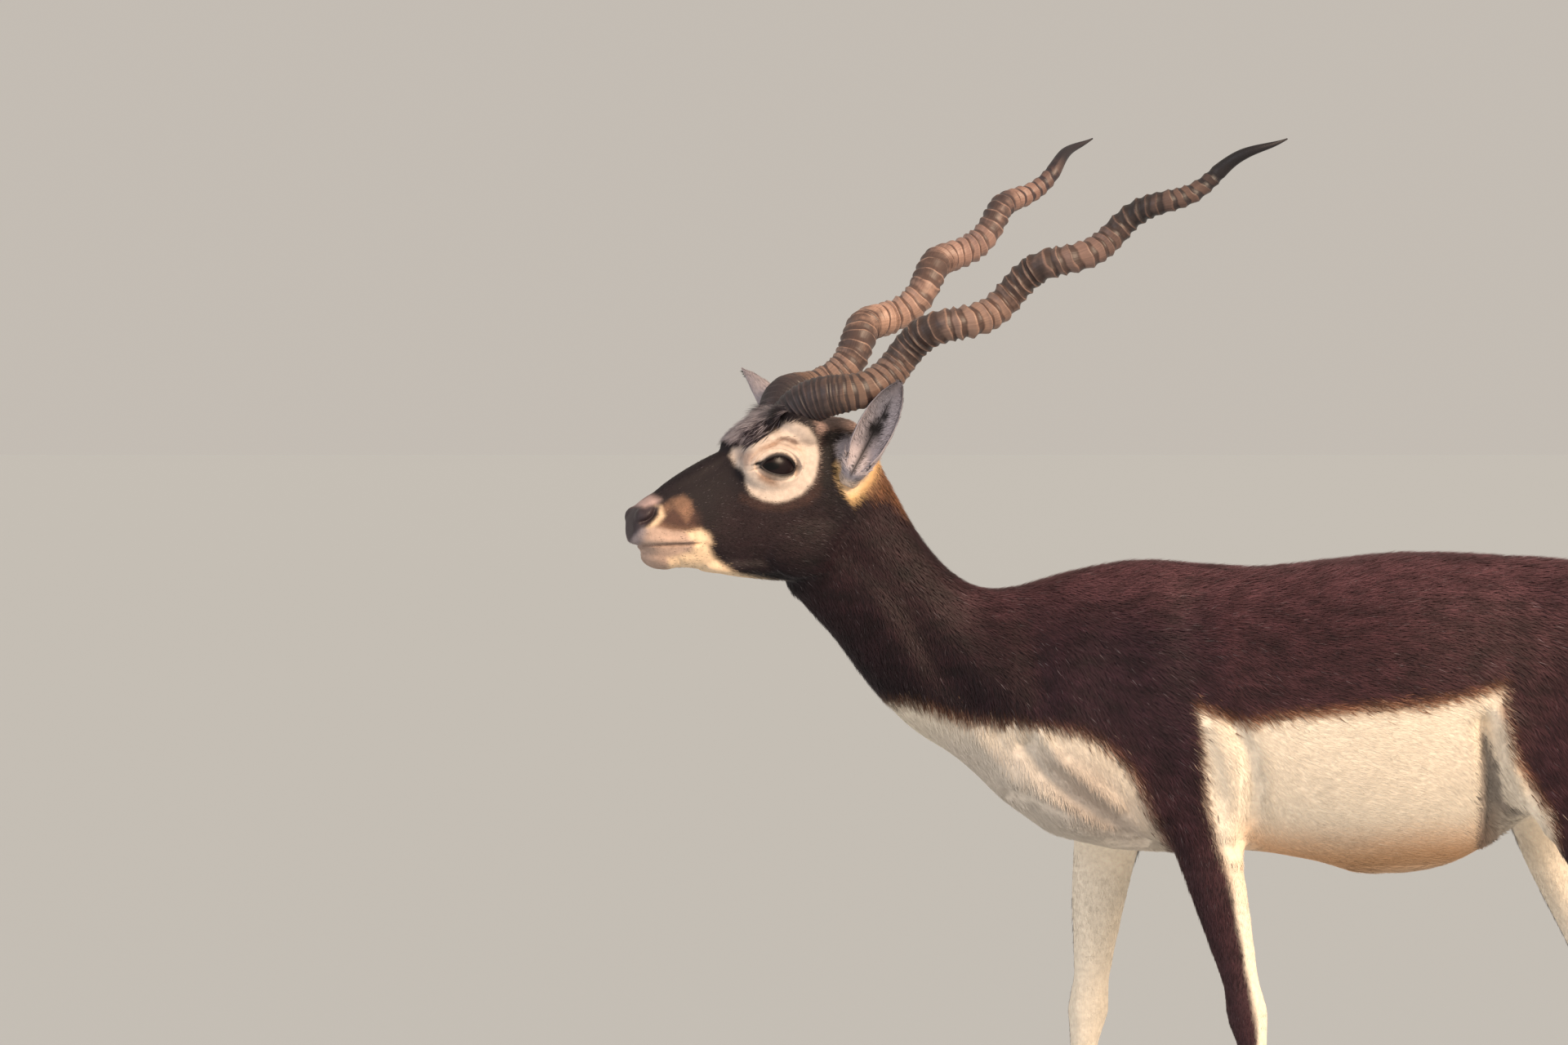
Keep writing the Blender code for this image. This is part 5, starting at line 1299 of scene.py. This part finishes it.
# %% How the coat lies: x, z, lie in x, lie in z, length mm, width mm, tilt degrees
BODY_COAT = np.array([
    (-0.330, 0.800, 0.45, -0.89, 9, 1.1, 10), (-0.250, 0.780, 0.60, -0.80, 12, 1.3, 12),
    (-0.280, 0.660, 0.35, -0.94, 11, 1.3, 12), (-0.170, 0.710, 0.80, -0.60, 12, 1.4, 11),
    (-0.220, 0.570, 0.20, -0.98, 14, 1.6, 13), (-0.100, 0.620, 0.55, -0.83, 12, 1.5, 11),
    (-0.130, 0.500, 0.25, -0.97, 15, 1.7, 14), (0.000, 0.740, 1.00, -0.10, 14, 1.7, 12),
    (0.000, 0.620, 0.80, -0.60, 13, 1.6, 11), (0.000, 0.500, 0.55, -0.83, 12, 1.6, 12),
    (0.200, 0.740, 1.00, -0.08, 14, 1.7, 12), (0.200, 0.600, 0.96, -0.26, 13, 1.7, 11),
    (0.200, 0.470, 0.99, -0.14, 13, 1.7, 12), (0.400, 0.740, 0.95, -0.30, 14, 1.7, 12),
    (0.420, 0.600, 0.60, -0.80, 13, 1.7, 11), (0.500, 0.660, 0.40, -0.92, 14, 1.7, 13),
    (0.350, 0.520, 0.72, -0.70, 12, 1.6, 11), (0.030, 0.460, 0.15, -0.99, 9, 1.3, 9),
    (0.070, 0.310, 0.05, -1.00, 6, 1.1, 8), (0.090, 0.170, 0.03, -1.00, 5, 1.0, 8),
    (0.090, 0.070, 0.00, -1.00, 6, 1.0, 10), (-0.070, 0.450, 0.10, -0.99, 9, 1.3, 9),
    (-0.088, 0.310, 0.00, -1.00, 6, 1.1, 8), (-0.104, 0.170, 0.00, -1.00, 5, 1.0, 8),
    (-0.120, 0.070, 0.00, -1.00, 6, 1.0, 10), (0.430, 0.450, 0.35, -0.93, 9, 1.4, 9),
    (0.500, 0.320, 0.10, -0.99, 6, 1.1, 8), (0.526, 0.170, 0.02, -1.00, 5, 1.0, 8),
    (0.520, 0.070, 0.00, -1.00, 6, 1.0, 10), (0.390, 0.450, 0.20, -0.98, 9, 1.4, 9),
    (0.437, 0.310, 0.00, -1.00, 6, 1.1, 8), (0.420, 0.170, 0.00, -1.00, 5, 1.0, 8),
    (0.395, 0.070, 0.00, -1.00, 6, 1.0, 10),
])
HEAD_COAT = np.array([
    (-0.235, 0.810, 0.95, 0.20, 2.2, 0.60, 8), (-0.225, 0.775, 0.98, 0.00, 2.8, 0.65, 9),
    (-0.190, 0.840, 0.90, 0.35, 3.0, 0.70, 8), (-0.180, 0.775, 0.98, -0.10, 4.0, 0.75, 10),
    (-0.150, 0.860, 0.85, 0.45, 4.0, 0.80, 8), (-0.140, 0.800, 1.00, -0.10, 4.5, 0.80, 9),
    (-0.120, 0.885, 0.80, 0.50, 6.0, 0.90, 12), (-0.100, 0.905, 0.80, 0.45, 8.0, 1.00, 16),
    (-0.095, 0.835, 1.00, -0.10, 3.5, 0.75, 8), (-0.120, 0.860, 0.90, 0.20, 3.2, 0.75, 8),
    (-0.075, 0.880, 0.98, 0.10, 3.5, 0.75, 8), (-0.065, 0.860, 1.00, 0.00, 4.5, 0.85, 9),
    (-0.060, 0.790, 0.95, -0.30, 6.5, 1.00, 11), (-0.080, 0.750, 0.95, -0.20, 8.0, 1.10, 12),
    (-0.020, 0.840, 0.90, -0.40, 7.0, 1.10, 11), (-0.030, 0.900, 0.98, -0.10, 7.0, 1.10, 12),
    (0.010, 0.880, 0.80, -0.60, 9.0, 1.20, 12), (0.000, 0.760, 0.80, -0.60, 9.0, 1.20, 12),
])


def blended(spots, table):
    """Values of a table's rows, weighted by how near each row's place is."""
    total, weight_sum = np.zeros((len(spots), table.shape[1] - 2)), np.zeros(len(spots))
    for row in table:
        weight = 1 / ((spots[:, 0] - row[0]) ** 2 + (spots[:, 1] - row[1]) ** 2 + 1e-5) ** 2
        total += weight[:, None] * row[2:]
        weight_sum += weight
    return total / weight_sum[:, None]


def coat_at(points):
    """Lie in the world, length, width and tilt of the coat at each place."""
    on_body = blended(in_body(points)[:, [0, 2]], BODY_COAT)
    on_head = blended(in_head(points)[:, [0, 2]], HEAD_COAT)
    share = head_share(points)[:, None]
    body_lie = np.stack([on_body[:, 0], 0 * on_body[:, 0], on_body[:, 1]], 1)
    head_lie = np.stack([on_head[:, 0], 0 * on_head[:, 0], on_head[:, 1]], 1) @ np.array(HEAD.to_3x3()).T
    lie = body_lie + share * (head_lie - body_lie)
    rest = on_body[:, 2:] + share * (on_head[:, 2:] - on_body[:, 2:])
    return lie, rest[:, 0] / 1000, rest[:, 1] / 1000, np.radians(rest[:, 2])


# %% Growing tufts
def unit(vectors):
    return vectors / np.maximum(np.linalg.norm(vectors, axis=1), 1e-9)[:, None]


def grow(name, roots, normals, lie, length, width, tilt, colours, chart, seed, rows=1, droop=0.0, sink=0.0004):
    """Closed spikes of three-sided rings, one mesh for all of them.

    chart is each root's place on the unwrapped skin, and every tuft's own patch there is 0.003 across."""
    rng = np.random.default_rng(seed)
    count = len(roots)
    lie = unit(lie - normals * np.sum(lie * normals, axis=1)[:, None])
    across = np.cross(normals, lie)
    sway = rng.normal(0, 0.16, count)[:, None]
    lie = unit(lie + across * sway)
    across = np.cross(normals, lie)
    length = length * rng.uniform(0.72, 1.22, count)
    tilt = tilt * rng.uniform(0.55, 1.5, count)
    grown = lie * np.cos(tilt)[:, None] + normals * np.sin(tilt)[:, None]
    points, along, patch, bent = [], [], [], []
    for k in range(rows):
        t = k / rows
        middle = roots + grown * (length * t)[:, None] - normals * (sink + droop * length * t * t)[:, None]
        half = (0.5 * width * (1 - t) ** 0.6)[:, None]
        for side, lift in ((-1, 0), (1, 0), (0, 0.38)):
            points.append(middle + across * half * side + normals * half * lift)
            along.append(np.full(count, t))
            patch.append(np.tile((0.0015 * side, 0.0030 * t - 0.0015), (count, 1)))
            bent.append(unit(normals + across * side * 0.32))
    points.append(roots + grown * length[:, None] - normals * (droop * length)[:, None])
    along.append(np.ones(count))
    patch.append(np.tile((0.0, 0.0015), (count, 1)))
    bent.append(normals)
    each = 3 * rows + 1
    faces = [(0, 2, 1)]
    for k in range(rows - 1):
        for a, b in ((2, 0), (1, 2), (0, 1)):
            faces += [(3 * k + a, 3 * k + b, 3 * k + 3 + b), (3 * k + a, 3 * k + 3 + b, 3 * k + 3 + a)]
    last = 3 * (rows - 1)
    faces += [(last + 2, last, each - 1), (last + 1, last + 2, each - 1), (last, last + 1, each - 1)]
    points = np.stack(points, 1).reshape(-1, 3)
    faces = (np.array(faces)[None] + each * np.arange(count)[:, None, None]).reshape(-1, 3)
    mesh = bpy.data.meshes.new(name)
    mesh.vertices.add(len(points))
    mesh.vertices.foreach_set("co", points.astype(np.float32).ravel())
    mesh.loops.add(len(faces) * 3)
    mesh.loops.foreach_set("vertex_index", faces.astype(np.int32).ravel())
    mesh.polygons.add(len(faces))
    mesh.polygons.foreach_set("loop_start", (3 * np.arange(len(faces))).astype(np.int32))
    mesh.update(calc_edges=True)
    mesh.shade_smooth()
    made = bpy.data.objects.new(name, mesh)
    bpy.context.scene.collection.objects.link(made)
    tint = np.repeat(colours, each, axis=0)
    colour_attribute(mesh, "coat", tint)
    # Dark hairs differ a lot in tone and darken to the root, white ones hardly.
    contrast = 1 - 0.75 * smoothstep(colours.mean(axis=1), 0.12, 0.55)[:, None]
    root_to_tip = 0.6 + contrast * (np.stack(along, 1) - 0.6)
    tone = 0.5 + contrast * (rng.uniform(0, 1, count)[:, None] - 0.5) + 0 * root_to_tip
    shade = np.stack([root_to_tip.ravel(), tone.ravel(), np.repeat(rng.uniform(0, 1, count), each)], 1)
    colour_attribute(mesh, "strand", shade)
    bake_map = mesh.uv_layers.new(name="OFBake")
    spot = (np.stack(patch, 1) + chart[:, None, :]).reshape(-1, 2)
    bake_map.data.foreach_set("uv", spot[faces.ravel()].astype(np.float32).ravel())
    mesh.normals_split_custom_set_from_vertices(np.stack(bent, 1).reshape(-1, 3))
    mesh.materials.append(hair)
    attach(made, "root")
    return made


def scattered(mesh, chosen, count, seed, weight=None):
    """Random places on the chosen triangles of a mesh, with their normals."""
    rng = np.random.default_rng(seed)
    mesh.calc_loop_triangles()
    corners = np.empty(len(mesh.loop_triangles) * 3, np.int32)
    mesh.loop_triangles.foreach_get("vertices", corners)
    corners = corners.reshape(-1, 3)
    corners = corners[chosen[corners].all(axis=1)]
    points, normals = coordinates(mesh), vertex_normals(mesh)
    a, b, c = (points[corners[:, k]] for k in range(3))
    area = np.linalg.norm(np.cross(b - a, c - a), axis=1) / 2
    if weight is not None:
        area = area * weight[corners].mean(axis=1)
    pick = rng.choice(len(corners), count, p=area / area.sum())
    u, v = rng.uniform(0, 1, (2, count))
    flip = u + v > 1
    u, v = np.where(flip, 1 - u, u)[:, None], np.where(flip, 1 - v, v)[:, None]
    corner = corners[pick]
    place = points[corner[:, 0]] * (1 - u - v) + points[corner[:, 1]] * u + points[corner[:, 2]] * v
    normal = normals[corner[:, 0]] * (1 - u - v) + normals[corner[:, 1]] * u + normals[corner[:, 2]] * v
    return place, unit(normal)


def filled(chart):
    """Fits an unwrap to the whole of its map, with a margin for the patches."""
    low, high = chart.min(axis=0), chart.max(axis=0)
    return 0.003 + 0.994 * (chart - low) / (high - low)


# %% Unwraps of the skin's own shape
SPINE = np.array([(-0.380, 0.830), (-0.300, 0.760), (-0.200, 0.660), (-0.050, 0.610), (0.200, 0.600), (0.520, 0.640)])


def spine_chart(points):
    """Length along the spine, and the angle round it."""
    body = in_body(points)
    spot = body[:, [0, 2]]
    best, run_so_far = np.full(len(spot), 1e9), 0.0
    along, above = np.zeros(len(spot)), np.zeros(len(spot))
    for a, b in zip(SPINE, SPINE[1:]):
        run = (b - a) / np.linalg.norm(b - a)
        share = np.clip((spot - a) @ run, 0, np.linalg.norm(b - a))
        gap = spot - a - share[:, None] * run
        distance = np.linalg.norm(gap, axis=1)
        closer = distance < best
        along[closer] = run_so_far + share[closer]
        above[closer] = (gap @ np.array((-run[1], run[0])))[closer]
        best = np.minimum(best, distance)
        run_so_far += np.linalg.norm(b - a)
    return np.stack([along, np.arctan2(body[:, 1], above)], 1)


def head_chart(points):
    local = in_head(points)
    return np.stack([local[:, 0], np.arctan2(local[:, 1], local[:, 2] - 0.820)], 1)


# x of the middle of each leg at four heights: front left, front right, hind left, hind right
LEG_BONES = ((0.085, 0.103, 0.070, 0.030), (-0.133, -0.107, -0.087, -0.066),
             (0.515, 0.534, 0.503, 0.410), (0.386, 0.415, 0.438, 0.378))


def leg_chart(points):
    """Height down a leg, and the angle round its bone, each leg in its own strip."""
    body = in_body(points)
    strip = np.where(body[:, 0] < 0.22, 0, 2) + np.where(body[:, 1] < 0, 0, 1)
    bones = [np.interp(body[:, 2], (0.05, 0.12, 0.31, 0.50), row) for row in LEG_BONES]
    angle = np.arctan2(np.abs(body[:, 1]) - 0.056, body[:, 0] - np.choose(strip, bones))
    return np.stack([strip + 0.05 + 0.9 * (angle / (2 * np.pi) + 0.5), body[:, 2]], 1)


# %% Grow the coat
skin.data.update()
points = coordinates(skin.data)
body = in_body(points)
share = head_share(points)
bare = bare_skin(points)
on_leg = body[:, 2] < 0.455
trunk = (share < 0.5) & ~on_leg
left = body[:, 1] < 0
shoulder = trunk & (body[:, 0] >= -0.165) & (body[:, 0] < 0.06)
barrel = trunk & (body[:, 0] >= 0.06) & (body[:, 0] < 0.32)
REGIONS = {
    "coat_head": ((share >= 0.5) & ~bare, 49000, head_chart),
    "coat_neck": (trunk & (body[:, 0] < -0.165), 44000, spine_chart),
    "coat_shoulder_left": (shoulder & left, 40000, spine_chart),
    "coat_shoulder_right": (shoulder & ~left, 30000, spine_chart),
    "coat_barrel_left": (barrel & left, 44000, spine_chart),
    "coat_barrel_right": (barrel & ~left, 30000, spine_chart),
    "coat_rump": (trunk & (body[:, 0] >= 0.32), 44000, spine_chart),
    "coat_legs": (on_leg & (body[:, 2] > 0.044), 42000, leg_chart),
}
LOCK_SCALE = np.array((45.0, 70.0, 95.0))
MUZZLE_END = -0.165
tufts = 0
for seed, (name, (chosen, count, chart)) in enumerate(REGIONS.items()):
    roots, normals = scattered(skin.data, chosen, count, 100 + seed)
    keep = ~bare_skin(roots)
    roots, normals = roots[keep], normals[keep]
    lie, length, width, tilt = coat_at(roots)
    colours = painted(roots, normals, on_hair=True)
    rng = np.random.default_rng(200 + seed)
    # Grey flecks on dark hair: partly stray pale hairs, partly painted glints of light on the coat, more of them on the
    # head.
    dark = colours.mean(axis=1) < 0.12
    fleck = dark & (rng.uniform(0, 1, len(roots)) < (0.055 if name == "coat_head" else 0.020))
    colours[fleck] += rng.uniform(0.05, 0.40, (fleck.sum(), 1)) * (COAT["grey"] - colours[fleck])
    length[fleck] *= 0.90
    width[fleck] *= 0.6
    tilt[fleck] *= 1.5
    # Dark whisker roots dot the lips and the side of the muzzle.
    if name == "coat_head":
        dotted = (in_head(roots)[:, 0] < MUZZLE_END) & (rng.uniform(0, 1, len(roots)) < 0.09)
        colours[dotted] += 0.65 * (COAT["black"] - colours[dotted])
    # White hair is finer and lies flatter, which is why it looks smooth.
    paleness = smoothstep(colours.mean(axis=1), 0.15, 0.55)
    # Hairs stick together in locks 15 to 30 mm long, each a little lighter or darker.
    locks = np.array([noise.noise(Vector(place)) for place in roots * LOCK_SCALE])
    colours *= (1 + 0.60 * (1 - 0.88 * paleness) * locks)[:, None]
    width *= 1 - 0.30 * paleness
    tilt *= 1 - 0.78 * paleness
    length *= 1 - (0.30 if name == "coat_head" else 0.0) * paleness
    grow(name, roots, normals, lie, length, width, tilt, colours, filled(chart(roots)), 300 + seed)
    tufts += len(roots)
print("coat", tufts, "tufts")

# %% [markdown]
# ## Longer hair
#
# Between the horns and the brow stands a tousled cushion of grey hair. Long pale hairs line the ears, black lashes
# shade the eyes and a brush of hair hides the tail.

# %% Forelock
FORELOCK = ((-0.132, -0.066), 0.030)      # from where to where along the head, and how far to each side
points = coordinates(skin.data)
local = in_head(points)
on_forehead = ((local[:, 0] > FORELOCK[0][0]) & (local[:, 0] < FORELOCK[0][1]) & (np.abs(local[:, 1]) < FORELOCK[1])
               & (local[:, 2] > 0.878 - 0.55 * (local[:, 0] + 0.100)) & (share > 0.5))
roots, normals = scattered(skin.data, on_forehead, 5200, 410)
local = in_head(roots)
rng = np.random.default_rng(411)
clump = np.sin(local[:, 0] * 420 + 3 * np.sin(local[:, 1] * 260)) * np.cos(local[:, 1] * 330)
back = smoothstep(local[:, 0], FORELOCK[0][0], FORELOCK[0][1])
lie = np.stack([-0.95 + 0 * clump, 7 * local[:, 1] + 0.30 * clump, -0.48 + 0.12 * clump], 1)
lie = lie @ np.array(HEAD.to_3x3()).T
# Pale on top, dark at the sides, in streaks that run with the hair: partly the grey of the hair itself, partly a
# painted highlight on top and painted shade at the sides.
streak = np.sin(local[:, 1] * 900 + 2 * np.sin(local[:, 0] * 60)) + 0.6 * np.sin(local[:, 1] * 2300)
on_top = smoothstep(np.abs(local[:, 1]), 0.021, 0.011)
pick = 0.50 * on_top + 0.26 * rng.uniform(0, 1, len(roots)) + 0.20 * streak + 0.10
shades = np.array([COAT["face"], COAT["slate"], COAT["grey"], COAT["pale grey"]])
tint = shades[np.digitize(pick, (0.22, 0.42, 0.68))]
chart = filled(head_chart(roots))
grow("forelock", roots, normals, lie, 0.019 + 0.006 * back, np.full(len(roots), 0.0010),
     np.radians(5 + 6 * back + 2 * clump), tint, chart, 412, rows=2, droop=0.10)
print("forelock", len(roots), "tufts")


# %% Hair of ears and tail
def grid_spots(grid, count, seed, low=0.0):
    """Random places on a grid of points: place, normal, run along the rows' order, run round, and shares of both."""
    rng = np.random.default_rng(seed)
    rows, columns = grid.shape[:2]
    up, turn = rng.uniform(low, 0.995, count), rng.uniform(0.005, 0.995, count)
    r, c = up * (rows - 1), turn * (columns - 1)
    i, j = r.astype(int), c.astype(int)
    p, q = (r - i)[:, None], (c - j)[:, None]
    a, b, d, e = grid[i, j], grid[i + 1, j], grid[i, j + 1], grid[i + 1, j + 1]
    spot = (a * (1 - p) + b * p) * (1 - q) + (d * (1 - p) + e * p) * q
    along = unit((b - a) * (1 - q) + (e - d) * q)
    around = unit((d - a) * (1 - p) + (e - b) * p)
    return spot, unit(np.cross(around, along)), along, around, up, turn * 2 - 1


TURN = np.array(HEAD.to_3x3()).T
for name, (outer, inner) in ears.items():
    sign = EARS[name][0]
    for face, grid, count, seed, hair_rows in (("back", outer, 3000, 420, 1), ("cup", inner, 3400, 430, 2)):
        spot, normal, along, around, up, across = grid_spots(grid, count, seed + sign)
        inside_rim = np.abs(across) < (0.88 if face == "cup" else 0.95)
        spot, normal, along, around = (row[inside_rim] for row in (spot, normal, along, around))
        up, across, count = up[inside_rim], across[inside_rim], int(inside_rim.sum())
        middle = grid.mean(axis=1)[np.minimum((up * (len(grid) - 1)).astype(int), len(grid) - 1)]
        outwards = np.sign(np.sum(normal * (spot - middle), axis=1).mean())
        normal = normal * (outwards if face == "back" else -outwards)
        if face == "back":
            lie, length, tilt = along, 0.0045 + 0.001 * up, 0.16 + 0 * up
        else:
            lie = along * 0.75 + around * np.sign(across)[:, None] * 0.75
            length = 0.0115 - 0.0055 * smoothstep(up, 0.45, 1.0) - 0.004 * smoothstep(up, 0.30, 0.10)
            length = length * (0.45 + 0.55 * smoothstep(np.abs(across), 0.15, 0.45))
            length = length * (1 - 0.60 * smoothstep(np.abs(across), 0.50, 0.85))
            tilt = 0.22 + 0.10 * smoothstep(np.abs(across), 0.6, 1.0)
        tint = ear_colours(face == "cup", up, across)
        chart = filled(np.stack([across, up], 1))
        if face == "cup":
            tint = tint * np.random.default_rng(seed + 9).uniform(0.55, 1.45, (count, 1))
        grow(f"ear_hair_{face}_{name}", moved(spot, HEAD), normal @ TURN, lie @ TURN, length, np.full(count, 0.0009),
             tilt, tint, chart, seed + 5 + sign, rows=hair_rows, droop=0.05 * (hair_rows - 1))

tail_grid = np.array([oval_ring(p, (1, 0, 0) if z < 0.70 else (0.6, 0, 0.8), (0, 1, 0), w * 0.8, w * 0.8, 24)
                      for p, (x, z, _, w) in zip(tail_path, tail_rows)])
tail_grid = np.concatenate([tail_grid, tail_grid[:, :1]], axis=1)
spot, normal, along, around, up, turn_share = grid_spots(tail_grid, 4400, 440)
centre = np.stack([np.interp(up, np.linspace(0, 1, len(tail_path)), tail_path[:, k]) for k in range(3)], 1)
normal = unit(spot - centre)
roots = moved(spot, BODY)
grow("tail_brush", roots, normal, along, 0.020 + 0.012 * up, np.full(len(spot), 0.0014), np.full(len(spot), 0.16),
     tail_colours(roots), filled(np.stack([turn_share, up], 1)), 441, rows=2, droop=0.05)
print("hair of ears and tail")

# %% Lashes
for name, sign in (("left", -1), ("right", 1)):
    rng = np.random.default_rng(450 + sign)
    angles = rng.uniform(0.14 * np.pi, 0.74 * np.pi, 90)
    along = SLIT_SHIFT + EYE_SLIT[0] * np.cos(angles)
    middle, half = almond_edge(along)
    out = eyeball_height(along, middle + half) + 0.0012
    roots = np.stack([EYE[0] + along, sign * (EYE[1] + out), EYE[2] + middle + half], 1)
    normals = unit(np.stack([0.3 * along / 0.02, np.full(90, sign * 0.6), np.full(90, 0.8)], 1))
    lie = np.stack([1.2 * along / 0.02 - 0.3, np.full(90, sign * 1.0), np.full(90, -0.25)], 1)
    grow(f"lashes_{name}", moved(roots, HEAD), normals @ TURN, lie @ TURN, np.full(90, 0.0062), np.full(90, 0.0004),
         np.full(90, 0.10), np.tile(COAT["black"], (90, 1)), filled(np.stack([angles, out], 1)), 452 + sign, rows=2,
         droop=-0.12)
print("lashes")

# %% [markdown]
# ## Floor and light
#
# A wide pale floor and soft lamps, as in a studio. The key comes from the camera's right, warm and rather low.

# %% Floor, sky and lamps
floor = mesh_object("studio_floor", [(-40, -40, 0), (40, -40, 0), (40, 40, 0), (-40, 40, 0)], [(0, 1, 2, 3)])
floor_paint, tree, shader = new_material("matt_floor_paint")
speck = add(tree, "ShaderNodeTexNoise", {"Scale": 3.0, "Detail": 4.0}).outputs["Fac"]
tint = add(tree, "ShaderNodeMix", {"Factor": speck, 6: (*linear("#b1bac2"), 1), 7: (*linear("#b7c0c8"), 1)},
           data_type="RGBA")
tree.links.new(tint.outputs[2], shader.inputs["Base Color"])
shader.inputs["Roughness"].default_value = 0.85
floor.data.materials.append(floor_paint)
floor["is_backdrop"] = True

world = bpy.data.worlds.new("studio")
bpy.context.scene.world = world
world.use_nodes = True
world.node_tree.nodes["Background"].inputs["Color"].default_value = (*linear("#f2e9de"), 1)
world.node_tree.nodes["Background"].inputs["Strength"].default_value = 0.62


def lamp(name, azimuth, elevation, distance, size, power, code):
    """A square soft lamp: azimuth 0 stands by the camera, 90 at its right."""
    a, e = math.radians(azimuth), math.radians(elevation)
    data = bpy.data.lights.new(name, "AREA")
    data.size, data.energy, data.color = size, power, linear(code)
    made = bpy.data.objects.new(name, data)
    look_at = Vector((-0.2, -0.1, 0.6))
    away = Vector((math.sin(a) * math.cos(e), -math.cos(a) * math.cos(e), math.sin(e)))
    made.location = look_at + away * distance
    made.rotation_euler = (-away).to_track_quat("-Z", "Y").to_euler()
    bpy.context.scene.collection.objects.link(made)


sun = bpy.data.objects.new("low_warm_key", bpy.data.lights.new("low_warm_key", "SUN"))
sun.data.energy = 4.0
sun.data.color = linear("#ffe2c4")
sun.data.angle = math.radians(26)
sun_from = Vector((math.sin(math.radians(50)), -math.cos(math.radians(50)), math.tan(math.radians(30))))
sun.rotation_euler = sun_from.to_track_quat("Z", "Y").to_euler()
bpy.context.scene.collection.objects.link(sun)
lamp("fill", -50, 20, 5.0, 3.0, 45, "#eef2ff")
bpy.context.scene.view_settings.view_transform = "Standard"
print("floor and lamps")

# %% Sizes, and done
low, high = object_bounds()
print("dressed ", [round(v, 4) for v in (*low, *high)])
